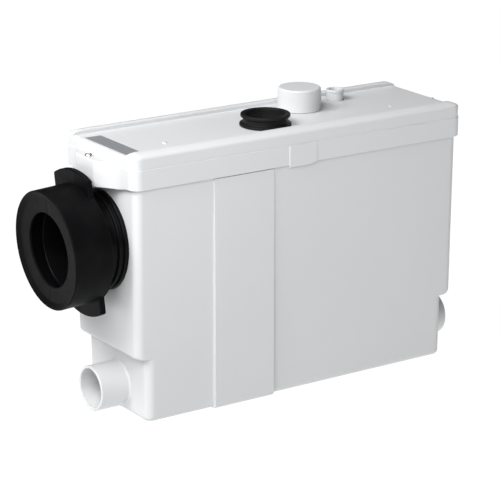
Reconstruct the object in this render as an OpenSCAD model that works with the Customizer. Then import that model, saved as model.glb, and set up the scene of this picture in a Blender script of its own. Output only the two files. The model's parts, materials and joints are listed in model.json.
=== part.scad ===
// Macerator toilet pump: a white tank that stands behind a toilet, with its lid, its black pan
// connector, two low side inlets, and the motor, cutter, pump and pressure switch inside.
// The origin is the middle of the tank's base. X runs along the tank, -Y is the front.

/* [Tank] */
// Length of the upper tank
tank_l = 388; // [376:1:420]
// Width of the tank at its shoulder, just under the lid
tank_w = 125; // [122:0.5:140]
// Width of the tank at its base
tank_base_w = 121.6; // [119:0.2:140]
// How far the back wall leans in at its base, over and above the front
back_lean = 11.3; // [0:0.1:12]
// Height of the tank's shoulder above the floor
shoulder_z = 237; // [228:1:280]
// Wall of the tank
wall = 3.5; // [2.5:0.1:4]
// Thickness of the tank's floor
floor_t = 4; // [3:0.1:6]
// Radius of the tank's upright corners
corner_r = 8.5; // [8:0.5:16]
// Rounding under the end steps and round the base
edge_r = 5; // [2:0.5:7]
// Height of the step under both ends
step_z = 66; // [60:1:74]
// How far each end is set back below the step
step_in = 12; // [8:0.5:14]
// Height of the neck that stands inside the lid
neck_h = 22; // [18:0.5:30]
// Set-back of the neck from the tank's walls
neck_in = 1.2; // [1:0.1:2]

/* [Front band] */
// Middle of the raised band on the front wall
band_x = -70.8; // [-80:0.2:-60]
// Width of the band
band_w = 70.5; // [60:0.5:76]
// How far the band stands out at the top
band_top_out = 1.4; // [0.8:0.1:2]
// How far the band stands out at the base
band_base_out = 5; // [2:0.1:7]

/* [Side inlets] */
// Place of the inlets across the tank
inlet_y = -6; // [-10:0.5:0]
// Height of the inlets' axis
inlet_z = 26.2; // [26:0.1:30]
// Radius of the inlets' sockets, for a 40 mm waste pipe
inlet_bore_r = 20; // [18:0.1:20.5]
// Wall of the inlets
inlet_wall = 2.8; // [2:0.1:3]
// How far the inlets stand out from the lower tank
inlet_len = 32; // [24:1:44]
// Depth of the inlets' sockets
inlet_depth = 28; // [16:1:30]
// Radius of the way from a socket into the tank
throat_r = 16.5; // [14:0.5:17]

/* [Inlet flaps] */
// How far a flap laps over the wall round its hole
flap_lap = 3; // [2:0.5:3.5]
// Thickness of a flap
flap_t = 2.5; // [2:0.1:3.5]
// Radius of the flaps' hinge pins
flap_pin_r = 1.5; // [1.2:0.1:2]
// Length of a flap's hinge barrel
barrel_len = 16; // [12:1:20]
// Wall of a hinge barrel round its pin
barrel_wall = 1.7; // [1.4:0.1:2]
// Thickness of each lug that holds a hinge pin
lug_t = 5; // [4:0.5:6]

/* [Lid] */
// Overhang of the lid past each end of the tank
lid_over_l = 4; // [4:0.1:6]
// Overhang of the lid past the front and back of the tank
lid_over_w = 2.9; // [2.9:0.1:5]
// Height of the lid
lid_h = 35.4; // [34:0.2:46]
// Wall of the lid's skirt
lid_wall = 2.4; // [2:0.1:2.6]
// Radius of the lid's upright corners
lid_corner_r = 10.5; // [9:0.5:16]
// Radius of the arc in which the lid's rims fall towards its sides and ends
crest_r = 24.5; // [22:0.5:30]
// Distance from the lid's faces to the crest of its rims
crest_in = 13.6; // [12:0.1:15]
// Gap between the skirt and the tank's shoulder
lid_gap = 0.3; // [0.3:0.1:1]
// Depth of the top panel below the rims along its front and back
panel_drop = 4.5; // [3.5:0.1:5]
// Thickness of the top panel
panel_t = 4; // [3:0.1:4.2]
// Width of the raised rims along the panel's front and back
rim_w = 16; // [15:0.1:18]
// Height of the band round the foot of the skirt
ledge_h = 20.1; // [15:0.1:22]
// How far that band stands out
ledge_out = 0.6; // [0.4:0.1:0.8]
// Middle of the pads on the long skirts
pad_x = -2.5; // [-10:0.5:10]
// Width of the pads on the long skirts
pad_w = 33; // [20:1:50]
// How far the pads stand out
pad_out = 0.7; // [0.4:0.1:1]
// How far the pads reach below the skirt
pad_drop = 2; // [1:0.1:3]
// How far the end skirts reach down in their middle
end_drop = 3; // [2:0.1:3.2]
// How far the screw bosses stand out from the lid's ends
boss_out = 15; // [14:0.5:16]
// Width of the screw bosses at their face
boss_w = 34; // [24:1:40]
// Width of the screw bosses at the lid's end
boss_foot_w = 76; // [60:1:78]
// Thickness of the gasket between the tank's neck and the lid
seal_t = 3; // [2:0.1:4]

/* [Lid fittings] */
// Distance from the black gland to the motor's axis
gland_run = 113.1; // [106:0.1:116]
// Place of the black gland across the lid
gland_y = -17.8; // [-20:0.2:0]
// Radius of the gland's bore
gland_bore_r = 19.6; // [17:0.1:20]
// Wall of the gland's waist
gland_wall = 2.2; // [1.6:0.1:2.6]
// Width of the gland's foot outside its waist
gland_foot = 4.2; // [3:0.1:5]
// Height of the gland above the panel
gland_h = 12.4; // [9:0.2:16]
// Distance from the lid's right end to the capped top inlet
cap_from_end = 146.6; // [138:0.2:150]
// Distance from the lid's back to the capped top inlet
cap_from_back = 46.6; // [42:0.2:50]
// Radius of the top inlet's spigot
top_inlet_r = 20; // [18:0.1:20.4]
// Height of the cap above the panel
cap_h = 23.5; // [18:0.5:28]
// Wall of the cap
cap_wall = 2.3; // [2:0.1:3]
// Distance from the lid's right end to the cable spigot
cable_from_end = 92.1; // [80:0.1:96]
// Distance from the lid's back to the cable spigot
cable_from_back = 33.6; // [30:0.1:40]
// Radius of the cable spigot's bore
cable_bore_r = 6.5; // [4:0.1:7]
// Wall of the cable spigot
cable_wall = 2.4; // [1.5:0.1:2.8]
// Height of the cable spigot above the panel
cable_h = 11.3; // [8:0.1:16]
// Length of the bare label plate
label_l = 80.6; // [40:0.2:82]
// Width of the label plate
label_w = 17.5; // [10:0.5:18]
// Thickness of the label plate
label_t = 0.8; // [0.6:0.1:1.2]

/* [Pan connector] */
// How far the connector's axis lies below the tank's shoulder
port_drop = 62; // [60:0.5:70]
// Radius of the bore through the connector's collar
collar_bore_r = 41; // [38:0.5:42]
// Radius of the collar's waist
collar_r = 46.5; // [44.5:0.5:48]
// Height of the collar's ribs above its waist
rib_h = 3.5; // [3:0.1:5]
// Radius of the sleeve outside
sleeve_r = 59; // [57:0.5:62]
// Wall of the sleeve
sleeve_wall = 6.6; // [5:0.1:7]
// Radius of the hole in the sleeve's lip
lip_r = 37; // [35:0.1:42]
// Depth of the lip behind the sleeve's rim
lip_depth = 3; // [2:0.5:9]
// Thickness of the lip at its hole
lip_t = 3; // [2:0.1:4]
// Gap between the tank's end and the sleeve
sleeve_gap = 22.5; // [18:0.5:26]
// Length of the sleeve
sleeve_l = 41.3; // [36:0.1:50]
// Reach of the sleeve's two ears from its axis
ear_r = 73.5; // [68:0.5:78]
// Width of an ear
ear_w = 65; // [40:1:70]
// Thickness of an ear
ear_t = 6; // [5:0.5:12]
// Turn of the sleeve on the collar, in degrees
ear_turn = 4.5; // [0:0.5:20]

/* [Motor] */
// Height of the plate that carries the motor
deck_z = 84; // [80:0.5:92]
// Thickness of that plate
deck_t = 8; // [7:0.5:10]
// Room between the motor's top and the lid
head_room = 42; // [36:0.5:50]
// Wall of the motor's hood
hood_wall = 3; // [2:0.1:4]
// Width of the flange round the foot of the hood
hood_flange = 4; // [3:0.5:5]
// Radius of the motor's shaft
shaft_r = 6; // [5:0.1:7]
// Outer radius of the two bearings
bearing_r = 16; // [14:0.5:17]
// Height of a bearing
bearing_h = 9; // [7:0.5:10]
// Height of the stator and of the rotor
stator_h = 50; // [40:1:54]
// Thickness of the stator from its bore to its rim
stator_t = 20.4; // [16:0.2:22]
// Gap between the rotor and the stator
air_gap = 0.5; // [0.3:0.05:0.8]
// Height of each end of the winding
winding_h = 12; // [8:0.5:12]

/* [Cutter and pump] */
// Radius of the pump's body
pump_r = 42; // [40:0.5:44]
// Wall of the pump's body
pump_wall = 6; // [5:0.5:7]
// Thickness of the pump's base
pump_base_t = 8; // [6:0.5:9]
// Thickness of the pump's cover
cover_t = 4; // [3:0.5:5]
// Radius of the suction hole in the cover
suction_r = 15; // [12:0.5:17]
// Gap between the impeller and the pump's wall
impeller_gap = 4; // [2:0.5:6]
// Height of the impeller's vanes
vane_h = 9; // [6:0.5:10]
// Radius of the cutter's basket
basket_r = 44; // [42:0.5:45]
// Thickness of the basket's sheet
basket_t = 2.5; // [2:0.1:3]
// Length of the cutter's blades from tip to tip
blade_l = 74; // [60:1:76]
// Width of the blades
blade_w = 14; // [10:0.5:16]

/* [Discharge] */
// Radius of the bore of the discharge pipe
pipe_bore_r = 12; // [10:0.2:12]
// Wall of the discharge pipe
pipe_wall = 3; // [2:0.1:3.4]
// Radius of the pipe's bend
bend_r = 26; // [22:0.5:28]
// Height of the seat of the non-return valve
valve_z = 78; // [74:0.5:90]
// Height of the valve's body
valve_h = 50; // [46:0.5:60]
// Inner radius of the valve's body
valve_r = 22; // [21:0.1:24]
// Radius of the valve's flap
valve_flap_r = 15.2; // [14.5:0.1:15.6]
// Radius of the riser's bore
riser_bore_r = 16.5; // [14:0.1:18]

/* [Switch and capacitor] */
// Radius of the pressure switch's housing
switch_r = 20; // [19:0.5:21]
// Outer radius of the pressure bell under the switch
bell_r = 12; // [10:0.5:13]
// Height of the bell's mouth above the tank's floor
bell_up = 43; // [42:0.5:50]
// Travel of the switch's plunger
plunger_travel = 2.5; // [1:0.1:3]
// Radius of the plunger
plunger_r = 3; // [2.5:0.1:3.5]
// Distance from the lever's pin to the plunger
lever_arm = 14; // [12:0.5:15]
// Radius of the capacitor
capacitor_r = 16; // [14:0.5:17]
// Height of the capacitor
capacitor_h = 64; // [40:1:90]
// Height of the terminal block
terminal_h = 16; // [10:0.5:20]

/* [Fits] */
// Gap of a running fit between a shaft or pin and its hole
run_fit = 0.05; // [0.02:0.01:0.1]
// Gap between pieces that seat in each other
seat_fit = 0.1; // [0.05:0.01:0.2]
// Gap between pieces that slide apart
slide_fit = 0.3; // [0.2:0.05:0.5]
// Gap that a hanging flap leaves to its seat
flap_fit = 0.2; // [0.1:0.05:0.3]

/* [Hidden] */
$fn = 64;
HULL_FN = 32;
SKIN = 0.01;
LAP = 1;

// Tank
neck_top = shoulder_z + neck_h;
neck_l = tank_l - 2 * neck_in;
neck_w = tank_w - 2 * neck_in;
neck_r = corner_r - neck_in;
cavity_l = neck_l - 2 * wall;
cavity_w = neck_w - 2 * wall;
cavity_r = neck_r - wall;
cavity_z = step_z + wall;
lower_l = tank_l - 2 * step_in;
sump_l = lower_l - 2 * wall;
sump_w = min(tank_base_w, tank_w) - 2 * wall;
sump_r = corner_r - wall;
tank_end = tank_l / 2;
sump_end = sump_l / 2;
function width_at(z) = tank_base_w + (tank_w - tank_base_w) * z / shoulder_z;
function lean_at(z) = back_lean * (1 - z / shoulder_z);
function back_at(z) = width_at(z) / 2 - lean_at(z);

// Lid
lid_z = shoulder_z + lid_gap;
lid_top = lid_z + lid_h;
lid_l = tank_l + 2 * lid_over_l;
lid_w = tank_w + 2 * lid_over_w;
lid_end = lid_l / 2;
skirt_t = lid_wall + ledge_out;
lid_in_l = lid_l - 2 * skirt_t;
lid_in_w = lid_w - 2 * skirt_t;
lid_in_r = lid_corner_r - skirt_t;
ceiling_z = neck_top + seal_t;
panel_z = lid_top - panel_drop;
panel_w = lid_w - 2 * rim_w;
pocket_z = panel_z - panel_t;
pocket_in = 2;
drop_slope = 5;
boss_low = 7.9;
boss_top = panel_z - boss_low;
screw_head_r = 4;
screw_head_h = 2.5;
screw_r = 2;
screw_l = 12;
lid_screw_x = lid_end + boss_out - screw_head_r - LAP;
label_in = 6.1;
label_x = label_in + label_w / 2 - lid_end;
label_y = -5.7;

// Lid fittings
cap_x = lid_end - cap_from_end;
cap_y = lid_w / 2 - cap_from_back;
cable_x = lid_end - cable_from_end;
cable_y = lid_w / 2 - cable_from_back;
gland_hole_r = gland_bore_r + gland_wall;
gland_foot_r = gland_hole_r + gland_foot;
gland_lip_r = gland_foot_r - 1;
gland_foot_h = 3.3;
gland_head_h = 4.2;
cable_r = cable_bore_r + cable_wall;
cable_flange = 3;
cable_rim = 0.6;
cable_rim_h = 2.4;
under_flange_t = 3;
bevel = 1;
top_inlet_wall = 2;
cap_in_r = top_inlet_r + slide_fit;
cap_r = cap_in_r + cap_wall;
cap_taper = 0.7;
cap_top_t = 2.7;

// Side inlets and their flaps
inlet_r = inlet_bore_r + inlet_wall;
inlet_end = lower_l / 2 + inlet_len;
flap_r = throat_r + flap_lap;
flap_barrel_r = flap_pin_r + run_fit + barrel_wall;
flap_hinge_z = inlet_z + flap_r + flap_barrel_r + LAP;
flap_hinge_x = sump_end - flap_barrel_r - LAP;
flap_lug_y = barrel_len / 2 + slide_fit + lug_t / 2;
flap_pin_l = barrel_len + 2 * (slide_fit + lug_t);

// Pan connector
port_z = shoulder_z - port_drop;
port_wall = tank_end - cavity_l / 2;
port_hole_r = collar_r - 0.5;
rib_r = collar_r + rib_h;
rib_w = 3;
rib_groove = 3.2;
seal_ribs = [3, 14];
nose_in = 21;
sleeve_in_r = sleeve_r - sleeve_wall;
sleeve_end = sleeve_gap + sleeve_l;
lip_face = sleeve_end - lip_depth;
lip_slope = 0.6;
lip_root = 5;
seal_rib_r = sleeve_in_r - slide_fit;
ear_on = 6;

// Motor, placed from the tank's right end and the leaning back wall
work_y = back_at(deck_z) - port_wall;
side_room = 5.8;
end_room = 7.3;
side_y = work_y - switch_r - side_room;
side_x = cavity_l / 2 - switch_r - end_room;
hood_room = 3.8;
hood_flange_r = work_y - hood_room;
hood_r = hood_flange_r - hood_flange;
hood_in_r = hood_r - hood_wall;
side_gap = 3;
clear_of_hood = hood_flange_r + switch_r + side_gap;
motor_x = side_x - sqrt(pow(clear_of_hood, 2) - pow(side_y, 2));
deck_top = deck_z + deck_t;
deck_edge = 4;
deck_room = 3;
deck_x0 = motor_x - hood_flange_r - deck_edge;
deck_x1 = side_x + switch_r + deck_edge;
deck_w = 2 * (work_y - deck_room);
gasket_t = 1.5;
hood_z = deck_top + gasket_t;
hood_top = ceiling_z - head_room;
hood_cap_t = 4;
hood_screw_bite = 4;
bearing_wall = 4;
bearing_seat = 3;
pocket_lead = 2;
boss_h = bearing_h + bearing_seat;
seal_r = bearing_r - bearing_seat;
shaft_room = 2;
upper_boss_z = hood_top - hood_cap_t - bearing_h - 3 * pocket_lead;
stator_r = hood_in_r - seat_fit;
rotor_r = stator_r - stator_t - air_gap;
stator_z = (deck_top + boss_h + upper_boss_z - stator_h) / 2;
winding_in = 4;
winding_clear = 3;
hub_fit = 0.02;
hub_bore_r = shaft_r + hub_fit;
column_r = 6;
column_x = hood_flange_r - 3;
column_front = work_y - 9;
column_back = work_y - 13.5;
columns = [for (sx = [-1, 1], y = [-column_front, column_back]) [motor_x + sx * column_x, y]];
hood_screws_at = [for (a = [45 : 90 : 315]) hood_flange_r * [cos(a), sin(a)]];

// Cutter and pump
pipe_r = pipe_bore_r + pipe_wall;
pump_floor = floor_t + pump_base_t;
outlet_z = pump_floor + pipe_bore_r;
pump_top = outlet_z + pipe_r + slide_fit;
pump_h = pump_top - floor_t;
cover_top = pump_top + cover_t;
volute_r = pump_r - pump_wall;
impeller_r = volute_r - impeller_gap;
nut_h = 5;
nut_room = 2;
impeller_z = pump_floor + nut_room + nut_h;
impeller_t = 3;
vanes = 6;
vane_turn = 20;
hub_r = shaft_r + 4;
shaft_z0 = pump_floor + nut_room / 2;
shaft_z1 = hood_top - hood_cap_t - shaft_room;
basket_h = deck_z - cover_top;
basket_slots = 11;
basket_turn = 125;
slot_w = 5;
blade_z = cover_top + 9;
blade_t = 4;
blade_tip = 6;

// Discharge
gland_x = motor_x - gland_run;
stub_l = 20;
stub_end = motor_x - pump_r - stub_l;
coupling_t = 3;
coupling_l = 17;
coupling_in = 8;
clip_w = 5;
clip_t = 1;
outlet_run = gland_run - pump_r - stub_l;
valve_wall = 3;
valve_out_r = valve_r + valve_wall;
valve_top = valve_z + valve_h;
valve_plate = 4;
valve_pin_r = 1.5;
valve_barrel_wall = 1.4;
valve_barrel_r = valve_pin_r + run_fit + valve_barrel_wall;
valve_barrel_l = 14;
valve_lug_w = 2 * valve_pin_r + 2;
valve_room = valve_r - 2 * slide_fit;
valve_arm = sqrt(pow(valve_room, 2) - pow(valve_barrel_l / 2, 2)) - valve_barrel_r;
valve_pin_l = valve_barrel_l + 2 * (slide_fit + lug_t);
valve_hinge_z = valve_z + valve_plate + valve_barrel_r + flap_fit;
riser_wall = 2.5;
riser_room = 12;
riser_r = riser_bore_r + riser_wall;
riser_top = ceiling_z - riser_room;

// Capacitor and terminals
strap_z = 20;
strap_h = 10;
strap_t = 2;
tab_h = 8;
ways = 4;
pitch = 10;
terminal_screw_r = 3;

// Pressure switch
bell_wall = 2;
air_hole_r = bell_r - 2 * bell_wall;
switch_wall = 4;
switch_base_h = 8;
switch_floor = 2;
diaphragm_z = deck_top + switch_base_h;
diaphragm_t = 2;
switch_cap_z = diaphragm_z + diaphragm_t;
plunger_plate = 2;
switch_room = plunger_plate + plunger_travel + 3.5;
switch_cap_h = switch_room + switch_wall;
switch_cap_top = switch_cap_z + switch_cap_h;
nib_r = 1.2;
nib_h = 3;
plunger_top = switch_cap_top + nib_h + LAP;
lever_t = 1;
lever_w = 6;
lever_pin_r = 1;
lever_barrel_wall = 1.1;
lever_barrel_r = lever_pin_r + run_fit + lever_barrel_wall;
lever_z = plunger_top + slide_fit;
lever_x = side_x - lever_arm;
button_r = 1.2;
button_over = 2;
button_stroke = 0.9;
lever_reach = lever_arm + button_over + 2;
lever_rise = plunger_travel * lever_reach / lever_arm;
button_z = lever_z + lever_t + lever_rise + button_stroke + slide_fit;
post_t = 2.4;
post_y = lever_w / 2 + slide_fit + post_t / 2;
micro_z = button_z + 1.5;
micro_h = 11;
micro_l = 22;
micro_plate_t = 2.5;
micro_plate_y = lever_w / 2 + 4;

// Flat outline with round corners
module rounded_plan(l, w, r) {
    square([l - 2 * r, w], center = true);
    square([l, w - 2 * r], center = true);
    for (sx = [-1, 1], sy = [-1, 1])
        translate([sx * (l / 2 - r), sy * (w / 2 - r)])
            circle(r);
}

// Thin slice of the tank's outline at one height, drawn in by a set amount
module tank_slice(l, z, inset) {
    w = width_at(z) - lean_at(z);
    translate([0, -lean_at(z) / 2, z])
        linear_extrude(SKIN)
            rounded_plan(l - 2 * inset, w - 2 * inset, corner_r - inset, $fn = HULL_FN);
}

// Block that follows the draft of the tank's walls, with its lower edge rounded
module drafted_block(l, z0, z1) {
    hull() {
        for (a = [0 : 22.5 : 90])
            tank_slice(l, z0 + edge_r * (1 - cos(a)), edge_r * (1 - sin(a)));
        tank_slice(l, z1 - SKIN, 0);
    }
}

// Axis that points out of the left or right end of the tank
module end_axis(side, x, y, z) {
    translate([side * x, y, z])
        rotate([0, side * 90, 0])
            children();
}

// Axis of the pan connector, measured outwards from the tank's left end
module port_axis() {
    end_axis(-1, tank_end, 0, port_z) children();
}

module ring(r_out, r_in, h) {
    difference() {
        cylinder(r = r_out, h = h);
        translate([0, 0, -LAP])
            cylinder(r = r_in, h = h + 2 * LAP);
    }
}

// Outline in the YZ plane, pushed along X
module push_x(x, l) {
    translate([x - l / 2, 0, 0])
        rotate([90, 0, 90])
            linear_extrude(l)
                children();
}

module front_band() {
    top = -tank_w / 2 - band_top_out;
    foot = -tank_base_w / 2 - band_base_out;
    root = wall / 2;
    toe = edge_r / 2;
    push_x(band_x, band_w)
        polygon([
            [top, shoulder_z - lid_gap], [foot, toe], [foot + toe / 2, SKIN],
            [root - tank_base_w / 2, toe], [root - tank_w / 2, shoulder_z - lid_gap]
        ]);
}

// Space in the tank: an upper room and a lower sump, with the lean of the back wall kept out of both
module tank_room() {
    difference() {
        union() {
            translate([0, 0, cavity_z])
                linear_extrude(neck_top)
                    rounded_plan(cavity_l, cavity_w, cavity_r);
            translate([0, 0, floor_t])
                linear_extrude(cavity_z)
                    rounded_plan(sump_l, sump_w, sump_r);
        }
        push_x(0, tank_l)
            polygon([
                [back_at(0) - port_wall, 0], [tank_w, 0],
                [tank_w, neck_top], [back_at(neck_top) - port_wall, neck_top]
            ]);
    }
}

module flap_lugs(side) {
    out = sump_end - flap_hinge_x;
    for (sy = [-1, 1])
        translate([side * flap_hinge_x, inlet_y + sy * flap_lug_y, flap_hinge_z])
            difference() {
                translate([side * out / 2, 0, 0])
                    cube([out + 2 * flap_barrel_r, lug_t, 2 * flap_barrel_r], center = true);
                rotate([90, 0, 0])
                    cylinder(r = flap_pin_r + run_fit, h = 2 * lug_t, center = true);
            }
}

module tank() {
    color("whitesmoke") {
        difference() {
            union() {
                drafted_block(tank_l, step_z, shoulder_z);
                drafted_block(lower_l, 0, step_z + 2 * edge_r);
                translate([0, 0, shoulder_z - LAP])
                    linear_extrude(neck_h + LAP)
                        rounded_plan(neck_l, neck_w, neck_r);
                front_band();
                for (side = [-1, 1])
                    end_axis(side, sump_end + LAP, inlet_y, inlet_z)
                        cylinder(r = inlet_r, h = inlet_end - sump_end - LAP);
            }
            tank_room();
            port_axis()
                cylinder(r = port_hole_r, h = 4 * port_wall, center = true);
            for (side = [-1, 1]) {
                end_axis(side, inlet_end - inlet_depth, inlet_y, inlet_z)
                    cylinder(r = inlet_bore_r, h = inlet_depth + LAP);
                end_axis(side, sump_end - LAP, inlet_y, inlet_z)
                    cylinder(r = throat_r, h = inlet_len + wall);
            }
        }
        for (side = [-1, 1])
            flap_lugs(side);
        for (at = columns)
            translate([at[0], at[1], floor_t - LAP])
                difference() {
                    cylinder(r = column_r, h = deck_z - floor_t + LAP);
                    translate([0, 0, deck_z - floor_t - 2 * screw_l])
                        cylinder(r = screw_r + run_fit, h = 2 * screw_l + 2 * LAP);
                }
    }
}

// Section of the lid's rims: level between the two crests, and falling in an arc outside them
module rim_section(span, h) {
    crest = span / 2 - crest_in;
    translate([-crest, 0])
        square([2 * crest, h]);
    for (s = [-1, 1])
        translate([s * crest, h - crest_r])
            circle(crest_r);
}

// Upper part of the lid, set in above the band
module lid_crown() {
    h = lid_h - ledge_h + LAP;
    translate([0, 0, lid_top - h])
        intersection() {
            linear_extrude(h)
                rounded_plan(lid_l - 2 * ledge_out, lid_w - 2 * ledge_out, lid_corner_r - ledge_out);
            push_x(0, lid_l)
                rim_section(lid_w, h);
            rotate([90, 0, 0])
                linear_extrude(lid_w, center = true)
                    rim_section(lid_l, h);
        }
}

// Boss at one end of the lid, with slanting flanks and a flat top for its screw
module end_boss(side) {
    root = side * (lid_end - skirt_t / 2);
    edge = side * lid_end;
    face = side * (lid_end + boss_out);
    foot = boss_foot_w / 2;
    low = lid_z - end_drop;
    translate([0, 0, low])
        linear_extrude(boss_top - low)
            polygon([
                [root, -foot], [edge, -foot], [face, -boss_w / 2],
                [face, boss_w / 2], [edge, foot], [root, foot]
            ]);
}

// Low middle of one end skirt
module end_skirt(side) {
    foot = boss_foot_w / 2;
    top = foot + drop_slope * end_drop;
    low = lid_z - end_drop;
    push_x(side * (lid_end - skirt_t / 2), skirt_t)
        polygon([
            [-foot, low], [foot, low], [top, lid_z],
            [top, lid_z + LAP], [-top, lid_z + LAP], [-top, lid_z]
        ]);
}

// Pad on one long skirt, which reaches a little below it
module side_pad(side) {
    outer = lid_w / 2 + pad_out;
    inner = tank_w / 2 + slide_fit;
    low = lid_z - pad_drop;
    translate([pad_x, side * (outer + inner) / 2, 0])
        rotate([90, 0, 0])
            linear_extrude(outer - inner, center = true)
                polygon([
                    [-pad_w / 2, low], [pad_w / 4, low], [pad_w / 2, lid_z],
                    [pad_w / 2, lid_z + ledge_h], [-pad_w / 2, lid_z + ledge_h]
                ]);
}

module lid() {
    color("white") {
        difference() {
            union() {
                translate([0, 0, lid_z])
                    linear_extrude(ledge_h)
                        rounded_plan(lid_l, lid_w, lid_corner_r);
                lid_crown();
                for (side = [-1, 1]) {
                    end_boss(side);
                    end_skirt(side);
                    side_pad(side);
                }
            }
            translate([0, 0, lid_z - LAP])
                linear_extrude(ceiling_z - lid_z + LAP)
                    rounded_plan(lid_in_l, lid_in_w, lid_in_r);
            translate([0, 0, ceiling_z - LAP])
                linear_extrude(pocket_z - ceiling_z + LAP)
                    rounded_plan(cavity_l - 2 * pocket_in, cavity_w - 2 * pocket_in, cavity_r);
            translate([0, 0, panel_z + panel_drop])
                cube([2 * lid_l, panel_w, 2 * panel_drop], center = true);
            for (side = [-1, 1])
                translate([side * lid_screw_x, 0, boss_top - screw_l - LAP])
                    cylinder(r = screw_r + seat_fit, h = 2 * screw_l);
            translate([label_x, label_y, panel_z])
                cube([label_w + 2 * seat_fit, label_l + 2 * seat_fit, label_t], center = true);
            translate([gland_x, gland_y, ceiling_z - LAP])
                cylinder(r = gland_hole_r + seat_fit, h = lid_h);
            translate([cable_x, cable_y, ceiling_z - LAP])
                cylinder(r = cable_r + seat_fit, h = lid_h);
            translate([cap_x, cap_y, ceiling_z - LAP])
                cylinder(r = top_inlet_r - top_inlet_wall, h = lid_h);
        }
        translate([cap_x, cap_y, pocket_z])
            ring(top_inlet_r, top_inlet_r - top_inlet_wall, panel_t + cap_h - cap_top_t - LAP);
    }
}

module lid_gasket() {
    color("dimgray")
        translate([0, 0, neck_top])
            linear_extrude(seal_t)
                difference() {
                    rounded_plan(neck_l, neck_w, neck_r);
                    rounded_plan(cavity_l, cavity_w, cavity_r);
                }
}

module lid_screws() {
    color("silver")
        for (side = [-1, 1])
            translate([side * lid_screw_x, 0, boss_top])
                pan_head_screw(screw_l);
}

module label_plate() {
    color("slategray")
        translate([label_x, label_y, panel_z + SKIN])
            cube([label_w, label_l, label_t - 2 * SKIN], center = true);
}

module top_gland() {
    under = -panel_t - seat_fit;
    low = under - under_flange_t;
    head = gland_h - gland_head_h;
    color("#1d1d1f")
        translate([gland_x, gland_y, panel_z])
            rotate_extrude()
                polygon([
                    [gland_bore_r, low], [gland_foot_r - bevel, low], [gland_foot_r - bevel, under],
                    [gland_hole_r, under], [gland_hole_r, seat_fit], [gland_foot_r, seat_fit],
                    [gland_foot_r, gland_foot_h - bevel], [gland_foot_r - bevel, gland_foot_h],
                    [gland_hole_r, gland_foot_h], [gland_hole_r, head], [gland_lip_r, head + bevel],
                    [gland_lip_r, gland_h - bevel], [gland_lip_r - bevel, gland_h],
                    [gland_bore_r + bevel, gland_h], [gland_bore_r, gland_h - 2 * bevel]
                ]);
}

module inlet_cap() {
    top_r = cap_r - cap_taper;
    color("white")
        translate([cap_x, cap_y, panel_z])
            rotate_extrude()
                polygon([
                    [0, cap_h - cap_top_t], [cap_in_r, cap_h - cap_top_t], [cap_in_r, slide_fit],
                    [cap_r, slide_fit], [top_r, cap_h - bevel], [top_r - bevel, cap_h], [0, cap_h]
                ]);
}

module cable_spigot() {
    under = -panel_t - seat_fit;
    low = under - under_flange_t;
    rim = cable_h - cable_rim_h;
    color("white")
        translate([cable_x, cable_y, panel_z])
            rotate_extrude()
                polygon([
                    [cable_bore_r, low], [cable_r + cable_flange, low], [cable_r + cable_flange, under],
                    [cable_r, under], [cable_r, rim - cable_rim], [cable_r + cable_rim, rim],
                    [cable_r + cable_rim, cable_h], [cable_bore_r + bevel, cable_h],
                    [cable_bore_r, cable_h - 2 * bevel]
                ]);
}

// Ribbed rubber collar that grips the edge of the hole in the tank's end
module pan_collar() {
    inside = -port_wall - seat_fit;
    rib_at = [seat_fit, rib_w + rib_groove + LAP + seat_fit];
    color("#232325")
        port_axis() {
            ring(collar_r, collar_bore_r, sleeve_gap + nose_in);
            for (d = rib_at)
                translate([0, 0, d])
                    ring(rib_r, collar_r - LAP, rib_w + (d == rib_at[0] ? LAP : 0));
            for (d = seal_ribs)
                translate([0, 0, sleeve_gap + d])
                    ring(seal_rib_r, collar_r - LAP, rib_w);
            translate([0, 0, inside - rib_w])
                ring(rib_r - LAP, collar_bore_r, rib_w);
            translate([0, 0, inside - LAP])
                ring(port_hole_r - seat_fit, collar_bore_r, LAP - inside + LAP);
        }
}

// Rubber sleeve with its lip at the front and two ears at the back
module pan_sleeve() {
    lip_back = lip_face - lip_slope - lip_t;
    color("#1a1a1c")
        port_axis() {
            rotate_extrude()
                polygon([
                    [sleeve_in_r, sleeve_gap], [sleeve_r - bevel, sleeve_gap],
                    [sleeve_r, sleeve_gap + bevel], [sleeve_r, sleeve_end - bevel],
                    [sleeve_r - bevel, sleeve_end], [sleeve_in_r, lip_face],
                    [lip_r, lip_face - lip_slope], [lip_r, lip_back],
                    [sleeve_in_r, lip_back - lip_root]
                ]);
            rotate([0, 0, ear_turn])
                translate([0, 0, sleeve_gap + ear_on - ear_t])
                    linear_extrude(ear_t)
                        intersection() {
                            difference() {
                                circle(ear_r);
                                circle(sleeve_r - sleeve_wall / 2);
                            }
                            square([2 * ear_r, ear_w], center = true);
                        }
        }
}

module inlet_flap(side) {
    back_x = sump_end - flap_fit;
    plate_x = back_x - flap_t;
    arm_w = 3 / 4 * barrel_len;
    arm_h = flap_hinge_z - inlet_z;
    color("#2a2a2c")
        difference() {
            union() {
                end_axis(side, plate_x, inlet_y, inlet_z)
                    cylinder(r = flap_r, h = flap_t);
                translate([side * (flap_hinge_x + back_x) / 2, inlet_y, inlet_z + arm_h / 2])
                    cube([back_x - flap_hinge_x, arm_w, arm_h], center = true);
                translate([side * flap_hinge_x, inlet_y, flap_hinge_z])
                    rotate([90, 0, 0])
                        cylinder(r = flap_barrel_r, h = barrel_len, center = true);
            }
            translate([side * flap_hinge_x, inlet_y, flap_hinge_z])
                rotate([90, 0, 0])
                    cylinder(r = flap_pin_r + run_fit, h = 2 * barrel_len, center = true);
        }
}

module left_flap() {
    inlet_flap(-1);
}

module right_flap() {
    inlet_flap(1);
}

module flap_pins() {
    color("silver")
        for (side = [-1, 1])
            translate([side * flap_hinge_x, inlet_y, flap_hinge_z])
                rotate([90, 0, 0])
                    cylinder(r = flap_pin_r, h = flap_pin_l, center = true);
}

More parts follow.
